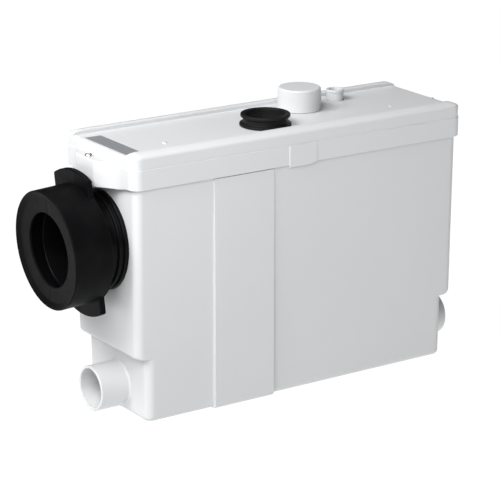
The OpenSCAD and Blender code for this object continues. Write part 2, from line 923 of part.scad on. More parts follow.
// Plate that carries the motor, with the seats of the shaft seal and the lower bearing
module motor_deck() {
    color("gainsboro")
        difference() {
            union() {
                translate([(deck_x0 + deck_x1) / 2, 0, deck_z])
                    linear_extrude(deck_t)
                        rounded_plan(deck_x1 - deck_x0, deck_w, corner_r);
                translate([motor_x, 0, deck_z])
                    cylinder(r = bearing_r + bearing_wall, h = deck_t + boss_h);
            }
            translate([motor_x, 0, deck_z - LAP])
                cylinder(r = shaft_r + shaft_room, h = 2 * deck_t + boss_h);
            translate([motor_x, 0, deck_z - LAP])
                cylinder(r = seal_r, h = deck_t);
            translate([motor_x, 0, deck_top + boss_h - bearing_h - LAP])
                cylinder(r = bearing_r, h = bearing_h + 2 * LAP);
            for (at = columns)
                translate([at[0], at[1], deck_z - LAP])
                    cylinder(r = screw_r + seat_fit, h = 2 * deck_t);
            for (at = hood_screws_at)
                translate([motor_x + at[0], at[1], deck_top - hood_screw_bite - LAP])
                    cylinder(r = screw_r + run_fit, h = deck_t);
            translate([side_x, side_y, deck_z - LAP])
                cylinder(r = air_hole_r, h = 2 * deck_t);
        }
}

module pan_head_screw(l) {
    cylinder(r = screw_head_r, h = screw_head_h);
    translate([0, 0, -l])
        cylinder(r = screw_r, h = l + SKIN);
}

module deck_screws() {
    color("silver")
        for (at = columns)
            translate([at[0], at[1], deck_top])
                pan_head_screw(deck_t + screw_l);
}

// Four ears on the hood's flange and gasket, one for each screw
module hood_foot(h) {
    difference() {
        union() {
            cylinder(r = hood_flange_r, h = h);
            for (at = hood_screws_at)
                translate(at)
                    cylinder(r = screw_head_r + LAP, h = h);
        }
        for (at = hood_screws_at)
            translate([at[0], at[1], -LAP])
                cylinder(r = screw_r + seat_fit, h = h + 2 * LAP);
    }
}

module hood_gasket() {
    color("dimgray")
        translate([motor_x, 0, deck_top])
            difference() {
                hood_foot(gasket_t);
                translate([0, 0, -LAP])
                    cylinder(r = hood_in_r, h = gasket_t + 2 * LAP);
            }
}

module motor_hood() {
    color("lightgray")
        translate([motor_x, 0, 0])
            difference() {
                union() {
                    translate([0, 0, hood_z])
                        hood_foot(hood_flange);
                    translate([0, 0, hood_z])
                        cylinder(r = hood_r, h = hood_top - hood_z);
                }
                difference() {
                    translate([0, 0, hood_z - LAP])
                        cylinder(r = hood_in_r, h = hood_top - hood_cap_t - hood_z + LAP);
                    translate([0, 0, upper_boss_z])
                        cylinder(r = bearing_r + bearing_wall, h = hood_top);
                }
                translate([0, 0, upper_boss_z - LAP])
                    cylinder(r = bearing_r, h = bearing_h + pocket_lead + LAP);
                translate([0, 0, upper_boss_z])
                    cylinder(r = shaft_r + shaft_room, h = hood_top - hood_cap_t - upper_boss_z);
            }
}

module hood_screws() {
    color("silver")
        for (at = hood_screws_at)
            translate([motor_x + at[0], at[1], hood_z + hood_flange])
                pan_head_screw(hood_flange + gasket_t + hood_screw_bite);
}

module stator_core() {
    color("slategray")
        translate([motor_x, 0, stator_z])
            ring(stator_r, rotor_r + air_gap, stator_h);
}

module stator_winding() {
    color("chocolate")
        for (z = [stator_z - winding_h, stator_z + stator_h])
            translate([motor_x, 0, z])
                ring(stator_r - winding_in, rotor_r + air_gap + winding_clear, winding_h);
}

module bearing(z) {
    translate([motor_x, 0, z])
        ring(bearing_r - SKIN, shaft_r + run_fit, bearing_h);
}

module upper_bearing() {
    color("silver")
        bearing(upper_boss_z + pocket_lead);
}

module lower_bearing() {
    color("silver")
        bearing(deck_top + boss_h - bearing_h - LAP);
}

module shaft_seal() {
    color("#2a2a2c")
        translate([motor_x, 0, deck_z])
            ring(seal_r - SKIN, shaft_r + run_fit, deck_t - LAP);
}

module motor_shaft() {
    color("lightsteelblue")
        translate([motor_x, 0, shaft_z0])
            cylinder(r = shaft_r, h = shaft_z1 - shaft_z0);
}

module rotor_core() {
    color("darkgray")
        translate([motor_x, 0, stator_z])
            ring(rotor_r, hub_bore_r, stator_h);
}

// Two cutting arms on one hub, each with its outer end turned up
module cutter_blade() {
    color("silver")
        translate([motor_x, 0, blade_z])
            difference() {
                union() {
                    cylinder(r = hub_r, h = 2.5 * blade_t);
                    translate([0, 0, blade_t / 2])
                        cube([blade_l, blade_w, blade_t], center = true);
                    for (s = [-1, 1])
                        translate([s * (blade_l - blade_t) / 2, 0, (blade_t + blade_tip) / 2])
                            cube([blade_t, blade_w, blade_t + blade_tip], center = true);
                }
                translate([0, 0, -LAP])
                    cylinder(r = hub_bore_r, h = 4 * blade_t);
            }
}

module impeller() {
    h = impeller_t + vane_h;
    color("dimgray")
        translate([motor_x, 0, impeller_z])
            difference() {
                union() {
                    cylinder(r = impeller_r, h = impeller_t);
                    cylinder(r = hub_r, h = h);
                    intersection() {
                        cylinder(r = impeller_r, h = h);
                        for (k = [0 : vanes - 1])
                            rotate([0, 0, k * 360 / vanes])
                                translate([impeller_r / 2, hub_r / 2, h / 2])
                                    rotate([0, 0, -vane_turn])
                                        cube([1.1 * impeller_r, impeller_t, h], center = true);
                    }
                }
                translate([0, 0, -LAP])
                    cylinder(r = hub_bore_r, h = h + 2 * LAP);
            }
}

module impeller_nut() {
    color("silver")
        translate([motor_x, 0, impeller_z - nut_h])
            difference() {
                cylinder(r = hub_r, h = nut_h, $fn = 6);
                translate([0, 0, -LAP])
                    cylinder(r = hub_bore_r, h = nut_h + 2 * LAP);
            }
}

// Slotted basket round the cutter, open towards the toilet's inlet
module cutter_basket() {
    color("lightsteelblue")
        translate([motor_x, 0, cover_top])
            difference() {
                cylinder(r = basket_r, h = basket_h);
                translate([0, 0, basket_t])
                    cylinder(r = basket_r - basket_t, h = basket_h);
                translate([0, 0, -LAP])
                    cylinder(r = hub_r, h = 2 * basket_t + LAP);
                for (a = [-basket_turn : 2 * basket_turn / (basket_slots - 1) : basket_turn])
                    rotate([0, 0, a])
                        translate([basket_r, 0, basket_h / 2])
                            cube([4 * basket_t, slot_w, basket_h - 4 * basket_t], center = true);
                translate([-basket_r, 0, basket_h / 2])
                    cube([basket_r, basket_r, basket_h - 4 * basket_t], center = true);
            }
}

module pump_body() {
    color("silver")
        difference() {
            union() {
                translate([motor_x, 0, floor_t])
                    cylinder(r = pump_r, h = pump_h);
                end_axis(-1, -motor_x, gland_y, outlet_z)
                    cylinder(r = pipe_r, h = motor_x - stub_end);
            }
            translate([motor_x, 0, pump_floor - slide_fit])
                cylinder(r = volute_r, h = pump_h);
            end_axis(-1, -motor_x, gland_y, outlet_z)
                cylinder(r = pipe_bore_r, h = motor_x);
        }
}

module pump_cover() {
    color("gray")
        translate([motor_x, 0, pump_top])
            ring(pump_r, suction_r, cover_t);
}

// Rubber coupling over the butt joint between the pump and its outlet pipe
module outlet_coupling() {
    color("#2a2a2c")
        end_axis(-1, -stub_end - coupling_in, gland_y, outlet_z)
            ring(pipe_r + seat_fit + coupling_t, pipe_r + seat_fit, coupling_l);
}

module coupling_clips() {
    clip_r = pipe_r + 2 * seat_fit + coupling_t;
    color("silver")
        for (d = [clip_t, coupling_l - clip_t - clip_w])
            end_axis(-1, -stub_end - coupling_in + d, gland_y, outlet_z)
                ring(clip_r + clip_t, clip_r, clip_w);
}

// Outlet pipe, measured from the riser's axis: a straight run, a quarter bend and an upright end
module outlet_elbow() {
    bend_z = outlet_z + bend_r;
    color("whitesmoke")
        translate([gland_x, gland_y, 0]) {
            end_axis(-1, -outlet_run, 0, outlet_z)
                ring(pipe_r, pipe_bore_r, outlet_run - bend_r);
            translate([bend_r, 0, bend_z])
                rotate([90, 0, 0])
                    rotate([0, 0, 180])
                        rotate_extrude(angle = 90)
                            translate([bend_r, 0])
                                difference() {
                                    circle(pipe_r);
                                    circle(pipe_bore_r);
                                }
            translate([0, 0, bend_z])
                ring(pipe_r, pipe_bore_r, valve_z - bend_z);
            translate([0, 0, valve_z - valve_plate])
                ring(valve_out_r, pipe_bore_r, valve_plate);
        }
}

module valve_hinge() {
    translate([gland_x + valve_arm, gland_y, valve_hinge_z])
        rotate([90, 0, 0])
            children();
}

module valve_body() {
    lug_y = valve_barrel_l / 2 + slide_fit + lug_t / 2;
    lug_z = valve_z + valve_plate / 2;
    lug_h = valve_hinge_z + valve_lug_w / 2 - lug_z;
    color("whitesmoke")
        difference() {
            union() {
                translate([gland_x, gland_y, valve_z])
                    ring(valve_out_r, valve_r, valve_h);
                translate([gland_x, gland_y, valve_z])
                    ring(valve_out_r, pipe_bore_r, valve_plate);
                translate([gland_x, gland_y, valve_top - valve_plate])
                    ring(valve_out_r, riser_bore_r, valve_plate);
                for (s = [-1, 1])
                    translate([gland_x + valve_arm, gland_y + s * lug_y, lug_z + lug_h / 2])
                        cube([valve_lug_w, lug_t, lug_h], center = true);
            }
            valve_hinge()
                cylinder(r = valve_pin_r + run_fit, h = valve_pin_l + 2 * slide_fit, center = true);
        }
}

module valve_flap() {
    plate_z = valve_z + valve_plate + flap_fit;
    color("#2a2a2c")
        difference() {
            union() {
                translate([gland_x, gland_y, plate_z])
                    cylinder(r = valve_flap_r, h = flap_t);
                translate([gland_x + valve_arm / 2, gland_y, plate_z + flap_t / 2])
                    cube([valve_arm, 3 / 4 * valve_barrel_l, flap_t], center = true);
                valve_hinge()
                    cylinder(r = valve_barrel_r, h = valve_barrel_l, center = true);
            }
            valve_hinge()
                cylinder(r = valve_pin_r + run_fit, h = 2 * valve_barrel_l, center = true);
        }
}

module valve_pin() {
    color("silver")
        valve_hinge()
            cylinder(r = valve_pin_r, h = valve_pin_l, center = true);
}

module riser_pipe() {
    color("whitesmoke")
        translate([gland_x, gland_y, valve_top]) {
            ring(riser_r, riser_bore_r, riser_top - valve_top);
            ring(valve_out_r, riser_bore_r, valve_plate);
        }
}

module capacitor() {
    color("lightgray")
        translate([side_x, -side_y, deck_top]) {
            cylinder(r = capacitor_r, h = capacitor_h);
            for (s = [-1, 1])
                translate([0, s * capacitor_r / 2, capacitor_h + tab_h / 2])
                    cube([LAP, 3 / 4 * tab_h, tab_h + LAP], center = true);
        }
}

// Strap round the capacitor, on a foot that stands on the deck
module capacitor_clip() {
    strap_r = capacitor_r + seat_fit + strap_t;
    color("silver")
        translate([side_x, -side_y, deck_top]) {
            translate([0, 0, strap_z])
                ring(strap_r, capacitor_r + seat_fit, strap_h);
            translate([strap_r - strap_t / 2, 0, (strap_z + LAP) / 2])
                cube([strap_t / 2, strap_h, strap_z + LAP], center = true);
        }
}

module terminal_block() {
    color("ivory")
        translate([motor_x, 0, hood_top + terminal_h / 2])
            difference() {
                cube([ways * pitch, 2 * pitch, terminal_h], center = true);
                for (k = [0 : ways - 1])
                    translate([(k + 0.5 - ways / 2) * pitch, 0, terminal_h / 2])
                        cylinder(r = terminal_screw_r + seat_fit, h = terminal_h, center = true);
            }
}

module terminal_screws() {
    color("gold")
        for (k = [0 : ways - 1])
            translate([motor_x + (k + 0.5 - ways / 2) * pitch, 0, hood_top + terminal_h / 2])
                cylinder(r = terminal_screw_r, h = terminal_h / 4);
}

// Open-bottomed tube that traps air over the water
module pressure_bell() {
    color("gainsboro")
        translate([side_x, side_y, floor_t + bell_up])
            ring(bell_r, bell_r - bell_wall, deck_z - floor_t - bell_up);
}

module switch_base() {
    color("gainsboro")
        translate([side_x, side_y, deck_top])
            difference() {
                cylinder(r = switch_r, h = switch_base_h);
                translate([0, 0, switch_floor])
                    cylinder(r = switch_r - switch_wall, h = switch_base_h);
                translate([0, 0, -LAP])
                    cylinder(r = air_hole_r, h = switch_base_h);
            }
}

module diaphragm() {
    color("#2a2a2c")
        translate([side_x, side_y, diaphragm_z])
            cylinder(r = switch_r, h = diaphragm_t);
}

// Top of the switch, with the plunger's guide, the lever's posts and the microswitch's plate
module switch_cap() {
    post_h = lever_z + lever_barrel_r + LAP - switch_cap_top;
    plate_h = micro_z + micro_h - switch_cap_top;
    color("gainsboro")
        difference() {
            union() {
                translate([side_x, side_y, switch_cap_z])
                    cylinder(r = switch_r, h = switch_cap_h);
                for (s = [-1, 1])
                    translate([lever_x, side_y + s * post_y, switch_cap_top + (post_h - LAP) / 2])
                        cube([2 * lever_barrel_r, post_t, post_h + LAP], center = true);
                translate([side_x - micro_l / 4, side_y + micro_plate_y, switch_cap_top - LAP])
                    cube([micro_l / 2, micro_plate_t, plate_h + LAP]);
            }
            translate([side_x, side_y, switch_cap_z - LAP])
                cylinder(r = switch_r - switch_wall, h = switch_room + LAP);
            translate([side_x, side_y, switch_cap_z])
                cylinder(r = plunger_r + run_fit, h = switch_cap_h + LAP);
            translate([lever_x, side_y, lever_z + lever_t / 2])
                rotate([90, 0, 0])
                    cylinder(r = lever_pin_r + run_fit, h = 4 * post_y, center = true);
        }
}

module switch_plunger() {
    color("darkorange")
        translate([side_x, side_y, switch_cap_z + slide_fit]) {
            cylinder(r = switch_r / 2, h = plunger_plate);
            cylinder(r = plunger_r, h = plunger_top - nib_h - switch_cap_z - slide_fit);
            cylinder(r = nib_r, h = plunger_top - switch_cap_z - slide_fit);
        }
}

module switch_lever() {
    color("silver")
        difference() {
            union() {
                translate([lever_x, side_y - lever_w / 2, lever_z])
                    cube([lever_reach, lever_w, lever_t]);
                translate([lever_x, side_y, lever_z + lever_t / 2])
                    rotate([90, 0, 0])
                        cylinder(r = lever_barrel_r, h = lever_w, center = true);
            }
            translate([lever_x, side_y, lever_z + lever_t / 2])
                rotate([90, 0, 0])
                    cylinder(r = lever_pin_r + run_fit, h = 2 * lever_w, center = true);
        }
}

module lever_pin() {
    color("silver")
        translate([lever_x, side_y, lever_z + lever_t / 2])
            rotate([90, 0, 0])
                cylinder(r = lever_pin_r, h = 2 * (post_y + post_t / 2), center = true);
}

module microswitch() {
    color("black") {
        translate([side_x - micro_l / 4, side_y - lever_w / 2, micro_z])
            cube([micro_l * 3 / 4, micro_plate_y + lever_w / 2, micro_h]);
        translate([side_x + button_over, side_y, button_z])
            cylinder(r = button_r, h = micro_z - button_z + LAP);
    }
}

tank();
lid();
lid_gasket();
lid_screws();
label_plate();
top_gland();
inlet_cap();
cable_spigot();
pan_collar();
pan_sleeve();
left_flap();
right_flap();
flap_pins();
motor_deck();
deck_screws();
hood_gasket();
motor_hood();
hood_screws();
stator_core();
stator_winding();
upper_bearing();
lower_bearing();
shaft_seal();
motor_shaft();
rotor_core();
cutter_blade();
impeller();
impeller_nut();
cutter_basket();
pump_body();
pump_cover();
outlet_coupling();
coupling_clips();
outlet_elbow();
valve_body();
valve_flap();
valve_pin();
riser_pipe();
capacitor();
capacitor_clip();
terminal_block();
terminal_screws();
pressure_bell();
switch_base();
diaphragm();
switch_cap();
switch_plunger();
switch_lever();
lever_pin();
microswitch();
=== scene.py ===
"""Macerator toilet pump: a white tank and lid, a black rubber pan connector, and the works inside."""
import json
import math

import bmesh
import bpy
import numpy as np
from mathutils import Matrix, Vector
from mathutils.geometry import delaunay_2d_cdt


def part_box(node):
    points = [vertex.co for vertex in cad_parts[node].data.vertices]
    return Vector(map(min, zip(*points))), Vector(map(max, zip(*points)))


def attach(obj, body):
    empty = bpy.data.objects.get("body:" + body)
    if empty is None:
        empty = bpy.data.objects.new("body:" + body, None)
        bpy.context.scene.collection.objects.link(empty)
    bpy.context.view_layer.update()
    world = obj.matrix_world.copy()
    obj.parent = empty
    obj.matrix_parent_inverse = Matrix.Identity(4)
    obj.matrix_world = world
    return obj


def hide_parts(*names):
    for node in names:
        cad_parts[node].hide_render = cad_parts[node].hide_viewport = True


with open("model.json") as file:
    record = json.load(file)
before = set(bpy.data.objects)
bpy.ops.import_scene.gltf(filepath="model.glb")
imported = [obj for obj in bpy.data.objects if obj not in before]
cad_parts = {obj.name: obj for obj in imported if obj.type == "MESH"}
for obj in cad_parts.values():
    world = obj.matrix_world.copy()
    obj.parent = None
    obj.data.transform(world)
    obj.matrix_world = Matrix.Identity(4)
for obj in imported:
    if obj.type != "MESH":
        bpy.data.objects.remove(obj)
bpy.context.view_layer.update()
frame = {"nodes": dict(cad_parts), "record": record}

# Tank
# The box behind the toilet: one white moulding with drafted walls, set back under both ends, with a
# raised band down its front and a neck for the lid. Its floor, walls and neck are one skin, out and in.
MM = 0.001
WELD = 2e-6


class Skin:
    """Points and faces of one piece in millimetres, gathered surface by surface."""

    def __init__(self):
        self.points, self.faces, self.count = [], [], 0

    def add(self, points):
        """Keeps points of shape (..., 3) and returns their numbers in the same shape."""
        numbers = np.arange(self.count, self.count + points[..., 0].size).reshape(points.shape[:-1])
        self.points.append(points.reshape(-1, 3))
        self.count += numbers.size
        return numbers

    def quads(self, numbers, keep=None):
        """Joins neighbouring rows and columns of numbers with four-sided faces, where keep is true."""
        corners = [numbers[:-1, :-1], numbers[:-1, 1:], numbers[1:, 1:], numbers[1:, :-1]]
        faces = np.stack(corners, -1)
        self.faces += (faces if keep is None else faces[keep]).reshape(-1, 4).tolist()

    def tube(self, points, keep=None):
        """Adds a grid whose last column meets its first, and returns its numbers."""
        numbers = self.add(points)
        self.quads(np.concatenate([numbers, numbers[:, :1]], 1), keep)
        return numbers

    def closed_tube(self, points, keep=None):
        """Adds such a grid with a flat face over its first and last rows, and returns its numbers."""
        numbers = self.tube(points, keep)
        self.faces += numbers[[0, -1]].tolist()
        return numbers

    def bridge(self, loop, other):
        """Joins two closed loops of as many points."""
        self.quads(np.stack([np.append(loop, loop[0]), np.append(other, other[0])]))

    def hole(self, numbers, grid, rows, columns, centre, radius):
        """Joins the border of a block of a grid, flat across X, to a circle in it, whose points lie in
        the same directions from its centre as the border's. Returns the circle, in order of its angle."""
        border, edge = (np.concatenate([block[0, :-1], block[:-1, -1], block[-1, :0:-1], block[:0:-1, 0]])
                        for block in (numbers[rows, columns], grid[rows, columns]))
        reach = edge - centre
        angle = np.arctan2(reach[:, 2], reach[:, 1])
        order = np.argsort(angle)
        turn = angle[order]
        circle = self.add(centre + radius * np.stack([0 * turn, np.cos(turn), np.sin(turn)], 1))
        self.bridge(border[order], circle)
        return circle

    def piece(self, name, body, material, nodes=(), crease=35):
        """Makes the piece: points that coincide merge, faces turn outwards, and edges over the crease
        angle stay sharp. It rides on its body and stands for the nodes."""
        mesh = bpy.data.meshes.new(name)
        mesh.from_pydata((np.concatenate(self.points) * MM).tolist(), [], self.faces)
        shell = bmesh.new()
        shell.from_mesh(mesh)
        bmesh.ops.remove_doubles(shell, verts=shell.verts, dist=WELD)
        bmesh.ops.recalc_face_normals(shell, faces=shell.faces)
        shell.to_mesh(mesh)
        shell.free()
        mesh.shade_smooth()
        mesh.set_sharp_from_angle(angle=math.radians(crease))
        mesh.materials.append(material)
        made = bpy.data.objects.new(name, mesh)
        bpy.context.scene.collection.objects.link(made)
        flats = made.modifiers.new("flat faces stay flat", "WEIGHTED_NORMAL")
        flats.keep_sharp = True
        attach(made, body)
        if nodes:
            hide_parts(*nodes)
        return made


class Wire:
    """A socket in one material's nodes. Sums, differences and products with it add Math nodes."""

    def __init__(self, tree, socket=None):
        self.tree, self.socket = tree, socket

    def node(self, kind, settings, inputs, output=0):
        """Adds a node, sets its settings, then sets or links its sockets, and returns one output."""
        made = self.tree.nodes.new(kind)
        for key, value in settings.items():
            setattr(made, key, value)
        for key, value in inputs.items():
            if isinstance(value, Wire):
                self.tree.links.new(value.socket, made.inputs[key])
            else:
                made.inputs[key].default_value = value
        return Wire(self.tree, made.outputs[output])

    def maths(self, operation, first, second):
        """The result of a Math node on two values or wires."""
        return self.node("ShaderNodeMath", {"operation": operation}, {0: first, 1: second})

    def __add__(self, other):
        return self.maths("ADD", self, other)

    def __sub__(self, other):
        return self.maths("SUBTRACT", self, other)

    def __rsub__(self, other):
        return self.maths("SUBTRACT", other, self)

    def __mul__(self, other):
        return self.maths("MULTIPLY", self, other)

    __radd__, __rmul__ = __add__, __mul__

    def place(self, stretch=(1, 1, 1)):
        """Object coordinates, stretched along each axis."""
        spot = self.node("ShaderNodeTexCoord", {}, {}, "Object")
        return self.node("ShaderNodeMapping", {}, {"Vector": spot, "Scale": stretch})

    def noise(self, scale, detail=2, stretch=(1, 1, 1)):
        """Noise from 0 to 1, with so many lumps to the metre."""
        return self.node("ShaderNodeTexNoise", {},
                         {"Vector": self.place(stretch), "Scale": scale, "Detail": detail})

    def swing(self, middle, width):
        """Noise from 0 to 1 as a value that swings about a middle, so wide in all."""
        return self * width + (middle - width / 2)

    def step(self, low, high):
        """0 below low, 1 above high, and a smooth rise between them."""
        return self.node("ShaderNodeMapRange", {"interpolation_type": "SMOOTHSTEP"},
                         {"Value": self, "From Min": low, "From Max": high})

    def tint(self, colour, other):
        """The first colour where this is 0, and the other where it is 1."""
        return self.node("ShaderNodeMix", {"data_type": "RGBA"},
                         {0: self, 6: (*colour, 1), 7: (*other, 1)}, 2)

    def feed(self, socket):
        """Links this to a shader's socket."""
        self.tree.links.new(self.socket, socket)


def new_finish(name, **constants):
    """A material, a Wire to make its nodes with, and its shader with the constants on its sockets."""
    material = bpy.data.materials.new(name)
    material.use_nodes = True
    shader = material.node_tree.nodes["Principled BSDF"]
    for key, value in constants.items():
        shader.inputs[key.replace("_", " ")].default_value = value
    return material, Wire(material.node_tree), shader


def relief(wire, height, depth):
    """Bump from a height between 0 and 1 that stands for so many metres."""
    return wire.node("ShaderNodeBump", {}, {"Height": height, "Distance": depth, "Strength": 1.0})


def moulded_plastic(name, colour, shade, roughness, grain=0.00004):
    """Moulded plastic: a slow drift between two tones, a fine spark-eroded grain that the mould
    leaves, and gloss that varies a little."""
    material, wire, shader = new_finish(name, Specular_IOR_Level=0.45)
    drift = wire.noise(scale=7, detail=3).step(0.3, 0.75)
    gloss = wire.noise(scale=60, detail=4)
    texture = wire.noise(scale=1500, detail=3)
    drift.tint(colour, shade).feed(shader.inputs["Base Color"])
    gloss.swing(roughness, 0.1).feed(shader.inputs["Roughness"])
    relief(wire, texture, grain).feed(shader.inputs["Normal"])
    return material


def rounded(corners, radii, steps=6):
    """The line through the corners, with each inner corner replaced by an arc that touches both of its
    sides, at radius over tan(half the corner's angle) from it. A corner of radius 0 stays as it is."""
    nearly_straight = 1.57
    corners = np.asarray(corners, float)
    line = [corners[:1]]
    for before, corner, after, radius in zip(corners[:-2], corners[1:-1], corners[2:], radii):
        back = (before - corner) / np.linalg.norm(before - corner)
        on = (after - corner) / np.linalg.norm(after - corner)
        half = math.acos(np.clip(back @ on, -1, 1)) / 2
        if radius == 0 or half > nearly_straight:
            line.append(corner[None])
            continue
        centre = corner + (back + on) / np.linalg.norm(back + on) * radius / math.sin(half)
        start = corner + back * radius / math.tan(half) - centre
        end = corner + on * radius / math.tan(half) - centre
        sweep = math.pi - 2 * half
        share = np.linspace(0, 1, steps + 1)[:, None]
        arc = np.sin((1 - share) * sweep) * start + np.sin(share * sweep) * end
        line.append(centre + arc / math.sin(sweep))
    line.append(corners[-1:])
    return np.concatenate(line)


def wall_rings(half_l, front_w, back_w, radius, z, xs, ys, steps=8):
    """Rings round a rounded rectangle, one for each level: front wall at the stations xs, quarter turn,
    right wall at the stations ys, and so on round. Levels differ in the distance from the middle to
    their ends, front and back, in corner radius and z, and may each have stations of their own."""
    sizes = (half_l, front_w, back_w, radius, z)
    half_l, front_w, back_w, radius, z = (np.asarray(size, float)[:, None] for size in sizes)
    quarter_turn = np.linspace(0, math.pi / 2, steps + 1)
    flat = np.zeros_like(half_l)
    sides = []
    for k, places in enumerate([xs, ys, xs[..., ::-1], ys[..., ::-1]]):
        wall = [-front_w, half_l, back_w, -half_l][k]
        along, fixed = places + flat, wall + 0 * places
        sides.append(np.stack([along, fixed] if k % 2 == 0 else [fixed, along], -1))
        turn = quarter_turn + (k - 1) * math.pi / 2
        corner_x = (half_l - radius) * (1 if k in (0, 1) else -1)
        corner_y = back_w - radius if k in (1, 2) else radius - front_w
        sides.append(np.stack([corner_x + radius * np.cos(turn), corner_y + radius * np.sin(turn)], -1))
    plan = np.concatenate(sides, 1)
    return np.concatenate([plan, np.broadcast_to(z[:, :, None], (*plan.shape[:2], 1))], -1)


def wall_columns(xs, ys, steps=8):
    """The columns of the front, right, back and left walls in such rings."""
    turn = steps + 1
    counts = [xs.shape[-1], ys.shape[-1]] * 2
    starts = np.cumsum([0] + [count + turn for count in counts[:3]])
    return [slice(start, start + count) for start, count in zip(starts, counts)]


def ease(value, low, high):
    """0 below low, 1 above high, and a smooth rise between them."""
    share = np.clip((value - low) / (high - low), 0, 1)
    return share * share * (3 - 2 * share)


def stations(*stops):
    """Sorted places along a wall, from evenly spaced stretches (start, end, count)."""
    return np.unique(np.round(np.concatenate([np.linspace(*stop) for stop in stops]), 4))


# A hole's room is half the side of the square of wall that it is cut in, and the flat sizes are half of
# each wall's straight stretch.
tank_half_l, lower_half_l = 194.0, 182.0
top_half_w, base_front_w, base_back_w = 62.5, 60.8, 49.5
shoulder_z, neck_top_z, step_z = 237.0, 259.0, 66.0
corner_r, base_edge = 8.5, 5.0
neck_in, wall_in = 1.2, 4.7
sump_half_l, sump_half_w, sump_corner = 178.5, 57.3, 5.0
cavity_z, floor_z = 69.5, 4.0
port_z, port_r, port_room = 175.0, 46.0, 48.0
inlet_y, inlet_z, throat_r, throat_room = -6.0, 26.2, 16.5, 20.0
band_low_x, band_high_x = -106.05, -35.55
band_out_top, band_out_base, band_edge = 1.4, 5.0, 0.5
flat_half_l, flat_half_w = 168.0, 47.5


def leaning(z, base_w):
    """How far out a wall is at a height: it leans out evenly from the base to the shoulder."""
    return base_w + (top_half_w - base_w) * z / shoulder_z


throat_low_y, throat_high_y = inlet_y - throat_room, inlet_y + throat_room
tank_xs = stations((-flat_half_l, flat_half_l, 57), (band_low_x - 1, band_low_x + 1.5, 11),
                   (band_high_x - 1.5, band_high_x + 1, 11))
tank_ys = stations((-flat_half_w, throat_low_y, 12), (throat_low_y, throat_high_y, 21),
                   (throat_high_y, flat_half_w, 18))
tank_front, tank_right, _, tank_left = wall_columns(tank_xs, tank_ys)
port_zs = np.linspace(port_z - port_room, port_z + port_room, 25)
inlet_zs = np.linspace(inlet_z - throat_room, inlet_z + throat_room, 21)

# The section of an end wall, as (distance from the middle, height): up outside from the base, over the
# neck, and down inside to the floor.
quarter = np.linspace(0, math.pi / 2, 7)
toe_in, toe_z = base_edge * (1 - np.sin(quarter)), base_edge * (1 - np.cos(quarter))
cavity_l, neck_l = tank_half_l - wall_in, tank_half_l - neck_in
end_step = rounded([[lower_half_l, inlet_zs[-1]], [lower_half_l, step_z], [tank_half_l, step_z],
                    [tank_half_l, port_zs[0]]], [1.5, base_edge])[1:-1]
outer = np.concatenate([
    np.stack([lower_half_l - toe_in, toe_z], 1),
    np.stack([lower_half_l + 0 * inlet_zs, inlet_zs], 1),
    end_step,
    np.stack([tank_half_l + 0 * port_zs, port_zs], 1),
])
outer_in = np.concatenate([toe_in, np.zeros(len(outer) - len(toe_in))])
neck = rounded([[tank_half_l, port_zs[-1]], [tank_half_l, shoulder_z], [neck_l, shoulder_z],
                [neck_l, neck_top_z], [cavity_l, neck_top_z], [cavity_l, port_zs[-1]]],
               [0.6, 0.3, 0.8, 0.8])[1:-1]
neck_inset = tank_half_l - neck[:, 0]
cavity_step = rounded([[cavity_l, port_zs[0]], [cavity_l, cavity_z], [sump_half_l, cavity_z],
                       [sump_half_l, inlet_zs[-1]]], [2, 2])[1:-1]
cavity = np.concatenate([np.stack([cavity_l + 0 * port_zs, port_zs[::-1]], 1), cavity_step])
sump = np.stack([sump_half_l + 0 * inlet_zs, inlet_zs[::-1]], 1)
floor_turn = rounded([sump[-1], [sump_half_l, floor_z], [sump_half_l - 3, floor_z]], [1.5])[1:]
floor_in = sump_half_l - floor_turn[:, 0]

# The other walls' distances and the corners' radii at the same levels.
level_l, level_z = np.concatenate([outer, neck, cavity, sump, floor_turn]).T
inner_start, levels = len(outer) + len(neck), len(level_z)
into_sump = (cavity_l - cavity[:, 0]) / (cavity_l - sump_half_l)
cavity_half_w, cavity_corner = top_half_w - wall_in, corner_r - wall_in
level_front = np.concatenate([
    leaning(outer[:, 1], base_front_w) - outer_in, top_half_w - neck_inset,
    cavity_half_w + into_sump * (sump_half_w - cavity_half_w), sump_half_w + 0 * inlet_zs,
    sump_half_w - floor_in,
])
inner_back = leaning(level_z[inner_start:], base_back_w) - wall_in
inner_back[-len(floor_in):] -= floor_in
level_back = np.concatenate([
    leaning(outer[:, 1], base_back_w) - outer_in, top_half_w - neck_inset,
    np.minimum(level_front[inner_start:], inner_back),
])
level_r = np.concatenate([
    corner_r - outer_in, corner_r - neck_inset,
    cavity_corner + into_sump * (sump_corner - cavity_corner), sump_corner + 0 * inlet_zs,
    sump_corner - floor_in,
])
level_flat = np.minimum(flat_half_w, level_back - level_r)[:, None]
squeeze = (level_flat - throat_high_y) / (flat_half_w - throat_high_y)
level_ys = np.where(tank_ys > throat_high_y, throat_high_y + (tank_ys - throat_high_y) * squeeze, tank_ys)
tank_grid = wall_rings(level_l, level_front, level_back, level_r, level_z, tank_xs, level_ys)

# The band stands out along its two upright edges, more at the base than under the lid.
band = (ease(tank_xs, band_low_x, band_low_x + band_edge)
        * ease(-tank_xs, -band_high_x, band_edge - band_high_x))
banded = slice(len(outer) + 1)
band_out = band_out_base + (band_out_top - band_out_base) * level_z[banded] / shoulder_z
tank_grid[banded, tank_front, 1] -= band_out[:, None] * band

